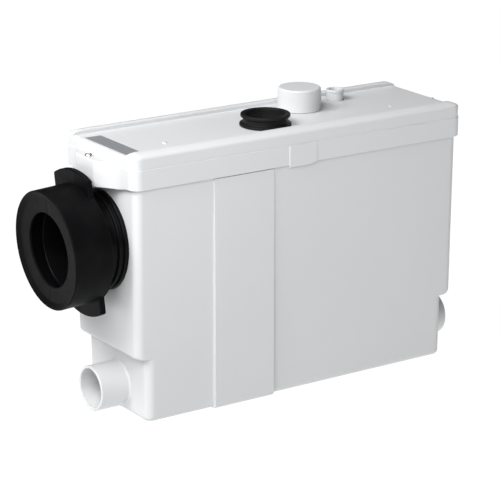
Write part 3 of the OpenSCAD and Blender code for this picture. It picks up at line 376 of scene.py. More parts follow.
# Round holes go through the end walls: one for the pan collar, and a throat behind each side inlet.
throat_start, throat_stop = np.searchsorted(tank_ys, [throat_low_y, throat_high_y]) + [0, 1]
right_throat = slice(tank_right.start + throat_start, tank_right.start + throat_stop)
left_throat = slice(tank_left.stop - throat_stop, tank_left.stop - throat_start)
wall_holes = ((tank_left, port_zs, (-tank_half_l, -cavity_l), (0, port_z), port_r),
              (left_throat, inlet_zs, (-lower_half_l, -sump_half_l), (inlet_y, inlet_z), throat_r),
              (right_throat, inlet_zs, (lower_half_l, sump_half_l), (inlet_y, inlet_z), throat_r))
walls = ((0, len(outer)), (inner_start, levels))


def rows_at(wall, heights):
    """The levels of the outer or the inner wall that lie between the first and the last height."""
    start, stop = wall
    near, z = 1e-6, level_z[start:stop]
    found = start + np.flatnonzero((z > heights[0] - near) & (z < heights[-1] + near))
    return slice(found[0], found[-1] + 1)


kept_faces = np.ones((levels - 1, tank_grid.shape[1]), bool)
for columns, heights, *_ in wall_holes:
    for wall in walls:
        rows = rows_at(wall, heights)
        kept_faces[rows.start:rows.stop - 1, columns.start:columns.stop - 1] = False
tank_skin = Skin()
tank_numbers = tank_skin.closed_tube(tank_grid, kept_faces)
for columns, heights, faces_x, spot, radius in wall_holes:
    tank_skin.bridge(*[tank_skin.hole(tank_numbers, tank_grid, rows_at(wall, heights), columns,
                                      np.array([x, *spot]), radius)
                       for wall, x in zip(walls, faces_x)])
white, cool_white = (0.645, 0.655, 0.665), (0.665, 0.675, 0.68)
white_tank = moulded_plastic("white_tank_plastic", white, cool_white, roughness=0.42)
tank_skin.piece("tank_shell", "tank", white_tank, ["tank"])

# Side inlets
# Two plain sockets for a 40 mm waste pipe, moulded with the tank low on its ends: a socket, a shoulder
# that stops the pipe, and a throat into the sump.
inlet_r, socket_r, inlet_end, socket_end = 22.8, 20.0, 214.0, 186.0
inlet_root, foot_flare, seat = sump_half_l + 0.5, 1.6, 0.05


def turned(profile, turns=96):
    """Surface of revolution about Z: each (radius, height) of the profile goes once round."""
    angle = np.linspace(0, 2 * math.pi, turns, endpoint=False)
    r, h = profile[:, :1], profile[:, 1:]
    return np.stack([r * np.cos(angle), r * np.sin(angle), h + 0 * angle], -1)


def set_on(points, origin, along, upward):
    """Moves points from a bench to the object: Z lies along one direction, and X points upward."""
    z = np.asarray(along, float) / np.linalg.norm(along)
    x = upward - (upward @ z) * z
    x /= np.linalg.norm(x)
    return np.asarray(origin, float) + points @ np.stack([x, np.cross(z, x), z])


def closed(corners, radii, steps=6):
    """A rounded outline that comes back to its start, with a radius for every corner."""
    corners = np.asarray(corners, float)
    middle = (corners[0] + corners[-1]) / 2
    return rounded([middle, *corners, middle], radii, steps)[:-1]


def turned_ring(skin, profile, origin, along=(0, 0, 1), upward=(1.0, 0, 0), turns=96):
    """Adds a ring whose cross-section is a closed outline of (radius, height)."""
    section = np.concatenate([profile, profile[:1]])
    skin.tube(set_on(turned(section, turns), origin, along, np.asarray(upward, float)))


inlet_outline = closed([[throat_r, inlet_root], [inlet_r + foot_flare, inlet_root],
                        [inlet_r + foot_flare, lower_half_l + seat], [inlet_r, lower_half_l + foot_flare],
                        [inlet_r, inlet_end], [socket_r, inlet_end], [socket_r, socket_end],
                        [throat_r, socket_end]],
                       [0, 0, 0.4, 1.2, 1.1, 0.7, 0.4, 0.6])
for side, name in ((-1, "left_inlet_socket"), (1, "right_inlet_socket")):
    inlet = Skin()
    turned_ring(inlet, inlet_outline, (0, inlet_y, inlet_z), (side, 0, 0), (0, 0, 1.0))
    inlet.piece(name, "tank", white_tank)

# Columns and flap lugs
# Moulded inside the tank: four columns that carry the motor's deck, and a pair of lugs over each side
# inlet that hold the hinge pin of its flap.
column_r, column_bore, deck_z, screw_head_r = 6.0, 1.9, 84.0, 4.0
lug_t, lug_r, pin_r = 5.0, 3.25, 1.5


def box_of(node):
    """The low and the high corner of a CAD node's box, in millimetres."""
    return [np.array(corner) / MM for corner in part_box(node)]


screw_low, screw_high = box_of("deck_screws")
column_top = deck_z - seat
column_outline = closed([[column_bore, floor_z], [column_r, floor_z], [column_r, column_top],
                         [column_bore, column_top]], [0, 0, 0.8, 0.5])
deck_columns = Skin()
for x in (screw_low[0] + screw_head_r, screw_high[0] - screw_head_r):
    for y in (screw_low[1] + screw_head_r, screw_high[1] - screw_head_r):
        turned_ring(deck_columns, column_outline, (x, y, 0), turns=40)
deck_columns.piece("deck_columns", "tank", white_tank)


def slab(skin, centre, size, corner, edge, steps=5):
    """A flat plate with round corners in plan and rounded edges: rings that draw in at top and bottom
    along a quarter circle."""
    length, width, height = size
    turn = np.linspace(0, math.pi / 2, steps)
    draw, rise = edge * (1 - np.sin(turn)), edge * (1 - np.cos(turn))
    inset = np.concatenate([draw, draw[::-1]])
    z = np.concatenate([rise, height - rise[::-1]]) - height / 2
    half_l, half_w, middle = length / 2 - inset, width / 2 - inset, np.array([0.0])
    rings = wall_rings(half_l, half_w, half_w, corner - inset, z, middle, middle)
    skin.closed_tube(rings + np.asarray(centre, float))


pin_low, pin_high = box_of("flap_pins")
hinge_x, hinge_z = pin_high[0] - pin_r, (pin_low[2] + pin_high[2]) / 2
lug_l = inlet_root - (hinge_x - lug_r)
lugs = Skin()
for side in (-1, 1):
    for y in (pin_low[1] + lug_t / 2, pin_high[1] - lug_t / 2):
        lug_at = (side * (inlet_root - lug_l / 2), y, hinge_z)
        slab(lugs, lug_at, (lug_l, lug_t, 2 * lug_r), corner=1.0, edge=0.5)
lugs.piece("flap_lugs", "tank", white_tank)

# Lid
# White moulded cover that drops over the tank's neck: a proud band round its skirt, broad rounded rims
# along front and back, a sunken panel that runs out at both ends, pads on the sides and two bosses.
lid_half_l, lid_half_w, lid_corner, lid_flat_l = 198.0, 65.4, 10.5, 176.0
lid_z, lid_top, panel_z, ceiling_z, pocket_z = 237.3, 272.7, 268.2, 262.0, 264.2
pocket_half_l, pocket_half_w, pocket_corner = 187.3, 55.8, 3.8
ledge_z, ledge_out, skirt_t = 257.4, 0.6, 3.0
crest_x, crest_y, crest_r, rim_edge, end_edge = 184.4, 51.8, 24.5, 1.8, 3.5
panel_half_w, wall_lean, rim_fillet, strip_in = 49.0, 0.5, 2.2, 12.0
boss_half_w, boss_foot, boss_out, boss_top, boss_edge = 17.0, 38.0, 15.0, 260.3, 1.5
boss_round, flank_round, end_drop, drop_end = 6.0, 24.0, 3.0, 53.0
pad_low_x, pad_high_x, pad_out, pad_drop = -19.0, 14.0, 0.7, 2.0
pad_edge, pad_slope, pad_clear = 0.2, 8.25, 0.4
rim_wall = rounded([[panel_half_w - 2, panel_z], [panel_half_w, panel_z],
                    [panel_half_w + wall_lean, lid_top], [lid_half_w, lid_top]], [0.6, rim_fillet], 8)


def lid_height(x, y, inset):
    """Height of the lid's top at a place, so far in from its face. The rims fall in an arc outside
    their crests and are rounded at the face. The panel between them is rounded at the two ends."""
    past_end, past_side = np.maximum(np.abs(x) - crest_x, 0), np.maximum(np.abs(y) - crest_y, 0)
    past = np.hypot(past_end ** 2, past_side ** 2) ** 0.5
    near, far = (edge - np.sqrt(edge ** 2 - np.maximum(edge - inset, 0) ** 2)
                 for edge in (rim_edge, end_edge))
    rim = lid_top - crest_r + np.sqrt(crest_r ** 2 - past ** 2) - near
    rise = np.interp(np.abs(y), rim_wall[:, 0], rim_wall[:, 1])
    share = (rise - panel_z) / (lid_top - panel_z)
    return np.minimum(rim, rise - far * (1 - share))


flank_low, flank_high, panel_flat = boss_half_w - 4, boss_half_w + 3, panel_half_w - 1
lid_xs = stations((-lid_flat_l, lid_flat_l, 45), (pad_low_x - 1, pad_low_x + 1, 9),
                  (pad_high_x - 9, pad_high_x + 1, 19))
wall_ys = np.unique(np.append(rim_wall[1:-1, 0], [crest_y + 0.1, crest_y + 0.9]).round(4))
panel_ys = stations((-panel_flat, panel_flat, 49), (flank_low, flank_high, 15),
                    (-flank_high, -flank_low, 15))
lid_ys = np.concatenate([-wall_ys[::-1], panel_ys, wall_ys])
lid_front, lid_right, lid_back, lid_left = wall_columns(lid_xs, lid_ys)
lid_sides = ((lid_front, lid_xs, -1), (lid_back, lid_xs[::-1], 1))
lid_ends = ((lid_right, lid_ys, 1), (lid_left, lid_ys[::-1], -1))

# The lid's section at an end: from the pocket under its top round the skirt, up its face and in to the
# strip of its rims.
inner_l, crown_l = lid_half_l - skirt_t, lid_half_l - ledge_out
boss_rise = boss_top - boss_edge * (1 - np.sin(quarter))
skirt_levels = (241, 246, 251, 254, 255.1, 255.6, 256.1)
crown_levels = (258.2, *boss_rise, boss_top + 0.001, 261, 262, 263.2, 264.3)
rim_levels_in = [2.4, 3.2, 4.5, 6.5, 8.5, 10, strip_in - ledge_out]
skirt_face = [[lid_half_l, z] for z in skirt_levels]
crown_face = [[crown_l, z] for z in crown_levels]
lid_line = rounded([[pocket_half_l, pocket_z], [pocket_half_l, ceiling_z], [inner_l, ceiling_z],
                    [inner_l, lid_z], [lid_half_l, lid_z], *skirt_face, [lid_half_l, ledge_z],
                    [crown_l, ledge_z], *crown_face],
                   [0.5, 0, 0.4, 0.9, *[0] * len(skirt_face), 0.5, 0.05, *[0] * len(crown_face)])
top_in = np.append(rim_edge * (1 - np.cos(quarter)), rim_levels_in)
line_x = np.concatenate([lid_line[:, 0], crown_l - top_in])
line_z = np.concatenate([lid_line[:, 1], lid_top + 0 * top_in])
line_in = lid_half_l - line_x
in_pocket = (line_x < pocket_half_l + 1) & (line_z < lid_top)
line_w = np.where(in_pocket, pocket_half_w + line_x - pocket_half_l, lid_half_w - line_in)
line_r = np.where(in_pocket, pocket_corner, np.maximum(lid_corner - line_in, 0.3))
line_r[-1] = 0
lid_grid = wall_rings(line_x, line_w, line_w, line_r, line_z, lid_xs, lid_ys)
rim_rows = lid_grid[len(lid_line):]
rim_rows[..., 2] = lid_height(rim_rows[..., 0], rim_rows[..., 1], top_in[:, None])
on_foot = line_z < lid_z + 1
outer_face = np.arange(len(line_x)) > np.flatnonzero(on_foot & (line_in > skirt_t / 2))[-1]

# Ends: the skirt's edge drops in the middle, and the boss stands out with slanting flanks and a flat top.
boss_plan = rounded([[0, boss_out], [boss_half_w, boss_out], [boss_foot, 0], [lid_half_w, 0]],
                    [boss_round, flank_round], 12)
into_edge = (line_z - boss_top + boss_edge).clip(0, boss_edge)
round_in = (boss_edge - np.sqrt(boss_edge ** 2 - into_edge ** 2))[:, None]
over_ledge = np.where(line_z > ledge_z - 0.5, line_in, 0)[:, None]
on_boss = (outer_face & (line_z <= boss_top))[:, None]
for columns, ys, sign in lid_ends:
    drop = end_drop * np.clip((drop_end - np.abs(ys)) / (drop_end - boss_foot), 0, 1)
    boss = np.interp(np.abs(ys), *boss_plan.T)
    out = boss - np.minimum(round_in, boss) + over_ledge * ease(boss, 0, 1.5)
    lid_grid[:, columns, 0] += sign * on_boss * out
    lid_grid[:, columns, 2] -= on_foot[:, None] * drop

# Pads on the long sides: they stand out below the ledge and hang a little under the skirt.
pad_face = outer_face & (line_z < ledge_z + 0.05) & (line_in < ledge_out)
proud = np.where(pad_face, pad_out, 0)[:, None]
clear = np.where(on_foot & ~outer_face, pad_clear, 0)[:, None]
for columns, xs, sign in lid_sides:
    start = ease(xs, pad_low_x - pad_edge, pad_low_x + pad_edge)
    pad = start * ease(-xs, -pad_high_x - pad_edge, pad_edge - pad_high_x)
    hang = start * np.clip((pad_high_x - xs) / pad_slope, 0, 1)
    lid_grid[:, columns, 1] += sign * (proud * pad + clear * hang)
    lid_grid[:, columns, 2] -= pad_drop * on_foot[:, None] * hang

lid_skin = Skin()
lid_numbers = lid_skin.tube(lid_grid)

# Rims: a strip along front and back from the innermost ring over the crest and down to the panel.
strip_l = lid_half_l - strip_in
strip_xs = np.concatenate([[-strip_l], lid_xs, [strip_l]])
strip_ys = np.append(wall_ys, lid_half_w - strip_in)[::-1, None]
rim_feet = {}
for sign in (-1, 1):
    x, y = np.broadcast_arrays(strip_xs, sign * strip_ys)
    strip_numbers = lid_skin.add(np.stack([x, y, lid_height(x, y, strip_in)], -1))
    lid_skin.quads(strip_numbers)
    rim_feet[sign] = strip_numbers[-1, 1:-1]
panel_ends = {sign: lid_numbers[-1, columns][np.abs(ys) < panel_half_w + 0.01]
              for columns, ys, sign in lid_ends}
panel_loop = np.concatenate([rim_feet[-1], panel_ends[1], rim_feet[1][::-1], panel_ends[-1]])


def plate(skin, loop, circles):
    """Fills a flat loop, leaving round holes: triangles between the loop and the circles' points."""
    inside_less_holes, near = 2, 1e-5
    used = np.concatenate([loop, *circles])
    spots = np.concatenate(skin.points)[used]
    edges, start = [], 0
    for ring in (loop, *circles):
        index = np.arange(start, start + len(ring))
        edges += np.stack([index, np.roll(index, -1)], 1).tolist()
        start += len(ring)
    flat = [Vector(spot[:2]) for spot in spots]
    _, _, faces, sources, _, _ = delaunay_2d_cdt(flat, edges, [], inside_less_holes, near)
    origin = np.array([source[0] for source in sources])
    skin.faces += [used[origin[face]].tolist() for face in faces]


gland_at, cap_at, cable_at = (np.mean(box_of(node), 0)[:2]
                              for node in ("top_gland", "inlet_cap", "cable_spigot"))
gland_hole_r, top_inlet_r, top_inlet_bore, cable_hole_r, hole_rim = 21.9, 20.0, 18.0, 9.0, 0.4
panel_holes = ((gland_at, gland_hole_r), (cap_at, top_inlet_bore), (cable_at, cable_hole_r))


def hole_rings(z, out):
    """A ring of points round each hole in the panel, at a height and so far out from the hole's edge."""
    return [lid_skin.add(turned(np.array([[r + out, z]]), turns=72)[0] + [*spot, 0])
            for spot, r in panel_holes]


# A narrow flat rim round each hole keeps the shading of its edge off the broad panel.
hole_feet, hole_edges = hole_rings(pocket_z, 0), hole_rings(panel_z, 0)
hole_rims = hole_rings(panel_z, hole_rim)
plate(lid_skin, lid_numbers[0], hole_feet)
plate(lid_skin, panel_loop, hole_rims)
for foot, edge, rim in zip(hole_feet, hole_edges, hole_rims):
    lid_skin.bridge(foot, edge)
    lid_skin.bridge(edge, rim)
white_lid = moulded_plastic("white_lid_plastic", white, cool_white, roughness=0.4)
lid_skin.piece("lid_shell", "cover", white_lid, ["lid"])

# Gate marks
# Two small round marks on the lid's panel, where the melt entered the mould and was trimmed. A turned
# top like theirs closes at pole_r, where its points are near enough to merge.
mark_x, mark_y, mark_flare, pole_r = 136.8, -23.2, 0.5, 0.001
marks = Skin()
for x, mark_r, mark_h in ((mark_x, 1.8, 0.45), (-mark_x, 2.3, 0.8)):
    mark_line = rounded([[mark_r + mark_flare, -0.3], [mark_r, mark_h], [pole_r, mark_h]], [0.3])
    marks.tube(turned(mark_line, turns=32) + np.array([x, mark_y, panel_z]))
marks.piece("gate_marks", "cover", white_lid)

# Lid gasket
# Grey rubber ring with a round top that lies on the tank's neck, under the lid's ceiling.
seal_near, seal_far, seal_gap, seal_flat_w = 0.05, 3.45, 0.02, 48.0


def rubber(name, colour, shade, roughness, gloss, seam=None):
    """Moulded rubber: a dusty bloom in soft patches, a fine grain and dull gloss. A seam, given as a
    height and a turn about X, is the raised dull line in the plane where the mould's halves met."""
    material, wire, shader = new_finish(name, Specular_IOR_Level=gloss)
    bloom = wire.noise(scale=35, detail=4).step(0.35, 0.8)
    dull = wire.noise(scale=90, detail=3).swing(roughness, 0.16)
    grain = wire.noise(scale=900, detail=4)
    if seam:
        height, turn = seam
        slope = (0, math.cos(turn), math.sin(turn))
        off = wire.node("ShaderNodeVectorMath", {"operation": "DOT_PRODUCT"},
                        {0: wire.place(), 1: slope}, "Value")
        line = 1 - wire.maths("ABSOLUTE", off - height * slope[2], 0).step(0.0002, 0.0007)
        dull, grain = dull + 0.4 * line, grain + 3 * line
    bloom.tint(colour, shade).feed(shader.inputs["Base Color"])
    dull.feed(shader.inputs["Roughness"])
    relief(wire, grain, 0.00008).feed(shader.inputs["Normal"])
    return material


grey_rubber = rubber("grey_seal_rubber", (0.075, 0.075, 0.08), (0.1, 0.1, 0.1), roughness=0.6, gloss=0.2)
seal_low, seal_high = neck_top_z + seal_gap, ceiling_z - seal_gap
seal_line = closed([[seal_near, seal_low], [seal_near, seal_high], [seal_far, seal_high],
                    [seal_far, seal_low]], [0.6, 0.9, 0.9, 0.6])
seal_in, seal_z = np.concatenate([seal_line, seal_line[:1]]).T
seal_w = top_half_w - neck_in - seal_in
gasket = Skin()
gasket.tube(wall_rings(neck_l - seal_in, seal_w, seal_w, corner_r - neck_in - seal_in, seal_z,
                       np.linspace(-flat_half_l, flat_half_l, 15),
                       np.linspace(-seal_flat_w, seal_flat_w, 7)))
gasket.piece("lid_seal", "tank", grey_rubber, ["lid_gasket"])

# Lid screws
# A pan-head screw on top of each boss, of plain zinc-plated steel with a recess for the driver.
shank_r, shank_l, head_r, head_h, recess_r, recess_z = 2.0, 12.0, 4.0, 2.48, 1.7, 0.9
screw_x, screw_gap = lid_half_l + boss_out - 5, 0.02


def metal(name, colour, shade, roughness, stretch, depth=0.00003):
    """Bare metal: fine streaks drawn along one way, which change its tone, its gloss and its surface."""
    material, wire, shader = new_finish(name, Metallic=1.0)
    streak = wire.noise(scale=260, detail=4, stretch=stretch)
    streak.step(0.25, 0.75).tint(colour, shade).feed(shader.inputs["Base Color"])
    streak.swing(roughness, 0.14).feed(shader.inputs["Roughness"])
    relief(wire, streak, depth).feed(shader.inputs["Normal"])
    return material


plated_steel = metal("plated_steel", (0.62, 0.61, 0.57), (0.7, 0.69, 0.66),
                     roughness=0.32, stretch=(1, 1, 6))
screw_line = rounded([[pole_r, -shank_l], [shank_r, -shank_l], [shank_r, screw_gap],
                      [head_r - 0.05, screw_gap], [head_r, 1.0], [3.2, 2.3], [1.9, head_h],
                      [recess_r, 1.0], [pole_r, recess_z]],
                     [0.3, 0, 0.15, 0.8, 0.8, 0.15, 0.1])
for sign, name in ((-1, "left_lid_screw"), (1, "right_lid_screw")):
    screw = Skin()
    screw.tube(turned(screw_line, turns=48) + np.array([sign * screw_x, 0, boss_top]))
    screw.piece(name, "cover", plated_steel, ["lid_screws"] if sign == -1 else ())

# Label plate
# A thin, bare plate of brushed grey foil, let half its thickness into the left end of the panel.
foil, wire, shader = new_finish("bare_grey_foil", Metallic=0.35, Specular_IOR_Level=0.5)
brush = wire.noise(scale=420, detail=4, stretch=(8, 1, 1))
brush.step(0.3, 0.7).tint((0.27, 0.28, 0.295), (0.36, 0.37, 0.385)).feed(shader.inputs["Base Color"])
brush.swing(0.42, 0.12).feed(shader.inputs["Roughness"])
relief(wire, brush, 0.00001).feed(shader.inputs["Normal"])
label_low, label_high = box_of("label_plate")
label = Skin()
slab(label, (label_low + label_high) / 2, label_high - label_low, corner=1.2, edge=0.18)
label.piece("bare_label_plate", "cover", foil, ["label_plate"])

# Top gland
# Black rubber gland pushed into the panel: a flange under it, a foot and a lipped head above it, and an
# open bore that grips the discharge pipe.
gland_bore, gland_foot, gland_lip, gland_waist = 19.6, 26.0, 25.0, 21.8
gland_h, gland_foot_h, gland_head_h = 12.4, 3.3, 4.2
flange_top, flange_t = pocket_z - panel_z - 0.1, 3.0
gland_rubber = rubber("black_gland_rubber", (0.008, 0.008, 0.0085), (0.012, 0.012, 0.0125),
                      roughness=0.45, gloss=0.12)
flange_low, head_z = flange_top - flange_t, gland_h - gland_head_h
gland_outline = closed([[gland_bore, flange_low], [gland_foot - 1, flange_low],
                        [gland_foot - 1, flange_top], [gland_waist, flange_top],
                        [gland_waist, seat], [gland_foot, seat],
                        [gland_foot, gland_foot_h - 0.8], [gland_waist + 0.9, gland_foot_h],
                        [gland_waist + 0.6, head_z], [gland_lip, head_z + 1.2], [gland_lip, gland_h],
                        [gland_bore, gland_h - 0.6]],
                       [0.3, 0.5, 0.3, 0, 0, 0.3, 0.7, 0.9, 0.9, 0.7, 1.0, 1.4])
gland = Skin()
turned_ring(gland, gland_outline, (*gland_at, panel_z))
gland.piece("discharge_gland", "cover", gland_rubber, ["top_gland"])

# Top inlet and its cap
# A short spigot moulded on the lid for a second waste pipe, closed by a tapered white cap.
spigot_root, spigot_top = -3.0, 19.8
cap_r, cap_top_r, cap_bore, cap_foot, cap_h, cap_t, cap_dome = 22.6, 21.9, 20.3, 0.3, 23.5, 2.7, 0.15
spigot_outline = closed([[top_inlet_bore, spigot_root], [top_inlet_r, spigot_root],
                         [top_inlet_r, spigot_top], [top_inlet_bore, spigot_top]], [0, 0, 0.7, 0.7])
spigot = Skin()
turned_ring(spigot, spigot_outline, (*cap_at, panel_z))
spigot.piece("top_inlet_spigot", "cover", white_lid)
cap_line = rounded([[pole_r, cap_h - cap_t], [cap_bore, cap_h - cap_t], [cap_bore, cap_foot],
                    [cap_r, cap_foot], [cap_top_r, cap_h - cap_dome], [pole_r, cap_h]],
                   [0.8, 0.3, 0.5, 1.9])
cap = Skin()
cap.tube(turned(cap_line, turns=128) + np.array([*cap_at, panel_z]))
cap.piece("top_inlet_cap", "cap", white_lid, ["inlet_cap"])

# Cable spigot
# A small open tube with a flared rim, clipped in the panel, where a cable or vent leads out. It is
# moulded of the lid's white plastic, with a flange under the panel.
cable_bore, cable_r, cable_h, rim_out, rim_h, clip_out = 6.5, 8.9, 11.3, 0.6, 2.4, 3.0
cable_outline = closed([[cable_bore, flange_low], [cable_r + clip_out, flange_low],
                        [cable_r + clip_out, flange_top], [cable_r, flange_top],
                        [cable_r, cable_h - rim_h - 0.5], [cable_r + rim_out, cable_h - rim_h],
                        [cable_r + rim_out, cable_h], [cable_bore, cable_h]],
                       [0.3, 0.4, 0.3, 0, 0.3, 0.3, 0.6, 0.8])
cable = Skin()
turned_ring(cable, cable_outline, (*cable_at, panel_z), turns=64)
cable.piece("cable_outlet_spigot", "cover", white_lid, ["cable_spigot"])

# Pan collar
# Black rubber collar sprung into the hole in the tank's left end: a flange inside, two ribs outside
# that lie on the wall, a bare waist, and two sealing ribs and a nose that the sleeve hides.
collar_bore, collar_r, rib_r, seal_r, nose_end = 41.0, 46.5, 50.0, 51.2, 43.5
hole_fit, inner_face = port_r - 0.1, -wall_in - 0.1
flange_back = inner_face - flange_t
collar_outline = closed([
    [collar_bore, flange_back], [rib_r - 1, flange_back], [rib_r - 1, inner_face], [hole_fit, inner_face],
    [hole_fit, seat], [rib_r, seat], [rib_r, 4.0], [collar_r + 0.3, 4.6],
    [collar_r, 6.6], [rib_r - 0.5, 7.2], [rib_r - 0.7, 10.2], [collar_r, 11.0],
    [collar_r, 25.2], [seal_r, 25.9], [seal_r, 28.3], [collar_r, 28.7],
    [collar_r, 36.3], [seal_r, 36.9], [seal_r, 39.2], [collar_r, 39.6],
    [collar_r - 0.8, nose_end], [collar_bore, nose_end]],
    [1, 1, 0.5, 0, 0, 0.6, 1.5, 0.9, 0.9, 1.3, 1.3, 0.9, 0.8, 1, 1, 0.8, 0.8, 1, 1, 0.8, 1, 1])
collar_rubber = rubber("black_collar_rubber", (0.003, 0.003, 0.0035), (0.005, 0.005, 0.0055),
                       roughness=0.34, gloss=0.09)
collar = Skin()
turned_ring(collar, collar_outline, (-tank_half_l, 0, port_z), (-1, 0, 0), (0, 0, 1.0), turns=160)
collar.piece("ribbed_pan_collar", "tank", collar_rubber, ["pan_collar"])

# Pan sleeve
# Black rubber sleeve that slips over the collar and takes the toilet's spigot in its lip. Two ears at
# the back help to pull it on. It hangs a little on the collar, so it droops towards its mouth.
sleeve_r, sleeve_in_r, lip_r = 59.0, 52.4, 37.0
sleeve_start, sleeve_end, lip_depth, lip_t, lip_lean = 22.5, 63.8, 3.0, 3.0, 0.6
ear_reach, ear_half_w, ear_from, ear_to, ear_turn = 73.5, 32.5, 22.5, 28.5, math.radians(4.5)
ear_edge, ear_flat_w, ear_sunk = 1.2, 30.0, 2.0
droop, droop_d = math.radians(3.2), 38.7
deep_black, dusty_black = (0.0025, 0.0025, 0.003), (0.005, 0.005, 0.0055)
sleeve_rubber = rubber("black_sleeve_rubber", deep_black, dusty_black, roughness=0.5, gloss=0.06,
                       seam=(port_z * MM, ear_turn))


def drooped(points):
    """Turns points on the sleeve's own axis frame (X up, Z out) by the droop, about a point inside it."""
    x, y, d = points[..., 0], points[..., 1], points[..., 2] - droop_d
    return np.stack([x * math.cos(droop) - d * math.sin(droop), y,
                     x * math.sin(droop) + d * math.cos(droop) + droop_d], -1)


def on_port(points):
    """Places points of the sleeve's axis frame on the tank's left end."""
    return set_on(drooped(points), (-tank_half_l, 0, port_z), (-1, 0, 0), np.array([0.0, 0, 1]))


lip_face = sleeve_end - lip_depth
lip_out = lip_face - lip_lean
sleeve_outline = closed([
    [sleeve_in_r, sleeve_start], [sleeve_r, sleeve_start], [sleeve_r, sleeve_end],
    [sleeve_r - 1.4, sleeve_end], [sleeve_in_r, lip_face], [lip_r, lip_out], [lip_r, lip_out - lip_t],
    [sleeve_in_r, lip_face - 8.6]],
    [0.6, 1.0, 1.3, 0.6, 1.5, 1.0, 1.0, 2.0], 8)
sleeve = Skin()
sleeve.tube(on_port(turned(np.concatenate([sleeve_outline, sleeve_outline[:1]]), turns=192)))

# Each ear is a slice between two circles, bounded by two parallel sides, with rounded edges: a grid
# across it from side to side, and round its section from the inner circle out and back.
edge_turn = np.linspace(0, math.pi / 2, 5)
edge_draw, edge_rise = ear_edge * (1 - np.sin(edge_turn)), ear_edge * (1 - np.cos(edge_turn))
flat_across = np.linspace(-ear_flat_w, ear_flat_w, 23)
ear_in = np.concatenate([edge_draw, 0 * flat_across, edge_draw[::-1]])[:, None]
ear_across = np.concatenate([edge_rise - ear_half_w, flat_across, ear_half_w - edge_rise[::-1]])[:, None]
ear_inner = np.sqrt((sleeve_r - ear_sunk) ** 2 - ear_across ** 2)
ear_outer = np.sqrt(ear_reach ** 2 - ear_across ** 2) - ear_in
ear_radial = np.concatenate([ear_inner, ear_outer - edge_draw, ear_outer - edge_rise, ear_inner], 1)
ear_depth = np.concatenate([[ear_from], ear_from + edge_rise, ear_to - edge_draw, [ear_to]])
ear_middle = (ear_from + ear_to) / 2
ear_d = ear_middle + (ear_depth - ear_middle) * (1 - ear_in / (ear_to - ear_from) * 2)
for turn in (ear_turn, ear_turn + math.pi):
    cos, sin = math.cos(turn), math.sin(turn)
    sleeve.closed_tube(on_port(np.stack([ear_radial * cos - ear_across * sin,
                                         ear_radial * sin + ear_across * cos, ear_d], -1)))
sleeve.piece("pan_connector_sleeve", "sleeve", sleeve_rubber, ["pan_sleeve"])

# Works inside
# The motor, cutter, pump, valve and switch keep their shapes. Each gets the finish of what it is made
# of: moulded plastics, rubber, drawn and plated metals, stacked sheet and lacquered copper.
finishes = {
    "grey_rubber": grey_rubber,
    "black_rubber": rubber("black_flap_rubber", deep_black, dusty_black, roughness=0.5, gloss=0.06),
    "grey_plastic": moulded_plastic("grey_moulded_plastic", (0.36, 0.37, 0.38), (0.42, 0.43, 0.44),
                                    roughness=0.45, grain=0.00006),
    "pipe_plastic": moulded_plastic("pale_pipe_plastic", (0.62, 0.63, 0.62), (0.68, 0.68, 0.67),
                                    roughness=0.42),
    "ivory_plastic": moulded_plastic("ivory_terminal_plastic", (0.66, 0.62, 0.5), (0.72, 0.68, 0.56),
                                     roughness=0.42),
    "switch_black": moulded_plastic("black_switch_plastic", (0.018, 0.018, 0.019), (0.028, 0.028, 0.029),
                                    roughness=0.4),
    "orange_plastic": moulded_plastic("orange_plunger_plastic", (0.62, 0.16, 0.02), (0.7, 0.22, 0.03),
                                      roughness=0.4),
    "steel": metal("brushed_steel", (0.5, 0.51, 0.52), (0.6, 0.61, 0.62),
                   roughness=0.3, stretch=(1, 1, 14)),
    "aluminium": metal("drawn_aluminium", (0.62, 0.63, 0.64), (0.7, 0.71, 0.72),
                       roughness=0.34, stretch=(5, 5, 1)),
    "brass": metal("turned_brass", (0.62, 0.44, 0.16), (0.7, 0.52, 0.22),
                   roughness=0.3, stretch=(1, 1, 8)),
    "iron": metal("stacked_iron", (0.13, 0.13, 0.135), (0.22, 0.22, 0.23),
                  roughness=0.5, stretch=(0.2, 0.2, 6), depth=0.0002),
    "copper": metal("lacquered_copper", (0.55, 0.21, 0.08), (0.72, 0.33, 0.14),
                    roughness=0.35, stretch=(0.3, 0.3, 5), depth=0.0003),
}
for part in frame["record"]["subparts"]:
    shown = frame["nodes"][part["node"]]
    if not shown.hide_render:
        shown.data.materials.clear()
        shown.data.materials.append(finishes[part["material_slot"]])

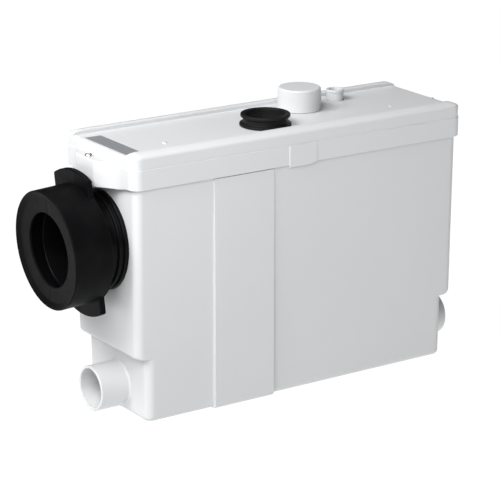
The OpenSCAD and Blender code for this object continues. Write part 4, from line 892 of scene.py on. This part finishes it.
# Studio
# A wide pale floor that glows, a big soft light high at the left, a smaller one before the left corner
# and a weak one overhead, and the camera at the photograph's angle.
floor_half, room_glow = 9.0, 0.02
floor_mesh = bpy.data.meshes.new("studio_floor")
floor_corners = [(x * floor_half, y * floor_half, 0) for x, y in ((-1, -1), (1, -1), (1, 1), (-1, 1))]
floor_mesh.from_pydata(floor_corners, [], [(0, 1, 2, 3)])
studio_floor = bpy.data.objects.new("studio_floor", floor_mesh)
bpy.context.scene.collection.objects.link(studio_floor)
pale, wire, shader = new_finish("pale_floor", Roughness=0.9, Specular_IOR_Level=0.1, Emission_Strength=1.0)
shader.inputs["Emission Color"].default_value = (1, 1, 1, 1)
wire.noise(scale=3).tint((0.05, 0.05, 0.05), (0.06, 0.06, 0.06)).feed(shader.inputs["Base Color"])
floor_mesh.materials.append(pale)

# The room glows weakly on the object, and is white where the camera sees past the floor.
world = bpy.data.worlds.new("studio")
bpy.context.scene.world = world
world.use_nodes = True
background = world.node_tree.nodes["Background"]
background.inputs["Color"].default_value = (1, 1, 1, 1)
seen = Wire(world.node_tree).node("ShaderNodeLightPath", {}, {}, "Is Camera Ray")
(room_glow + (1 - room_glow) * seen).feed(background.inputs["Strength"])


def softbox(name, place, target, size, watts):
    """A square area light at a place, turned to face a target, in metres."""
    light = bpy.data.lights.new(name, "AREA")
    light.size, light.energy = size, watts
    made = bpy.data.objects.new(name, light)
    made.location = place
    made.rotation_euler = (Vector(target) - Vector(place)).to_track_quat("-Z", "Y").to_euler()
    bpy.context.scene.collection.objects.link(made)


softbox("left_softbox", place=(-1.4, 0.0, 1.5), target=(-0.1, 0, 0.2), size=1.0, watts=32)
softbox("front_softbox", place=(-0.8, -0.8, 0.9), target=(-0.1, 0, 0.15), size=0.7, watts=11.3)
softbox("top_softbox", place=(-0.1, 0.3, 1.5), target=(-0.05, 0, 0.2), size=1.8, watts=7.5)
bpy.context.scene.view_settings.view_transform = "Standard"

camera_place = np.array([-1.26687, -1.83915, 0.82725])
camera_target = np.array([-0.02122, 0.0, 0.13412])
camera_roll = math.radians(0.25)
ahead = (camera_target - camera_place) / np.linalg.norm(camera_target - camera_place)
level_side = np.cross(ahead, [0, 0, 1])
level_side /= np.linalg.norm(level_side)
rolled_side = math.cos(camera_roll) * level_side + math.sin(camera_roll) * np.cross(level_side, ahead)
rolled_up = np.cross(rolled_side, ahead)
turn_rows = np.stack([rolled_side, rolled_up, -ahead], 1).tolist()
lens = bpy.data.cameras.new("camera")
lens.sensor_width, lens.lens = 36.0, 164.81
camera = bpy.data.objects.new("camera", lens)
camera.matrix_world = Matrix([*([*row, place] for row, place in zip(turn_rows, camera_place)),
                              [0, 0, 0, 1]])
bpy.context.scene.collection.objects.link(camera)
bpy.context.scene.camera = camera
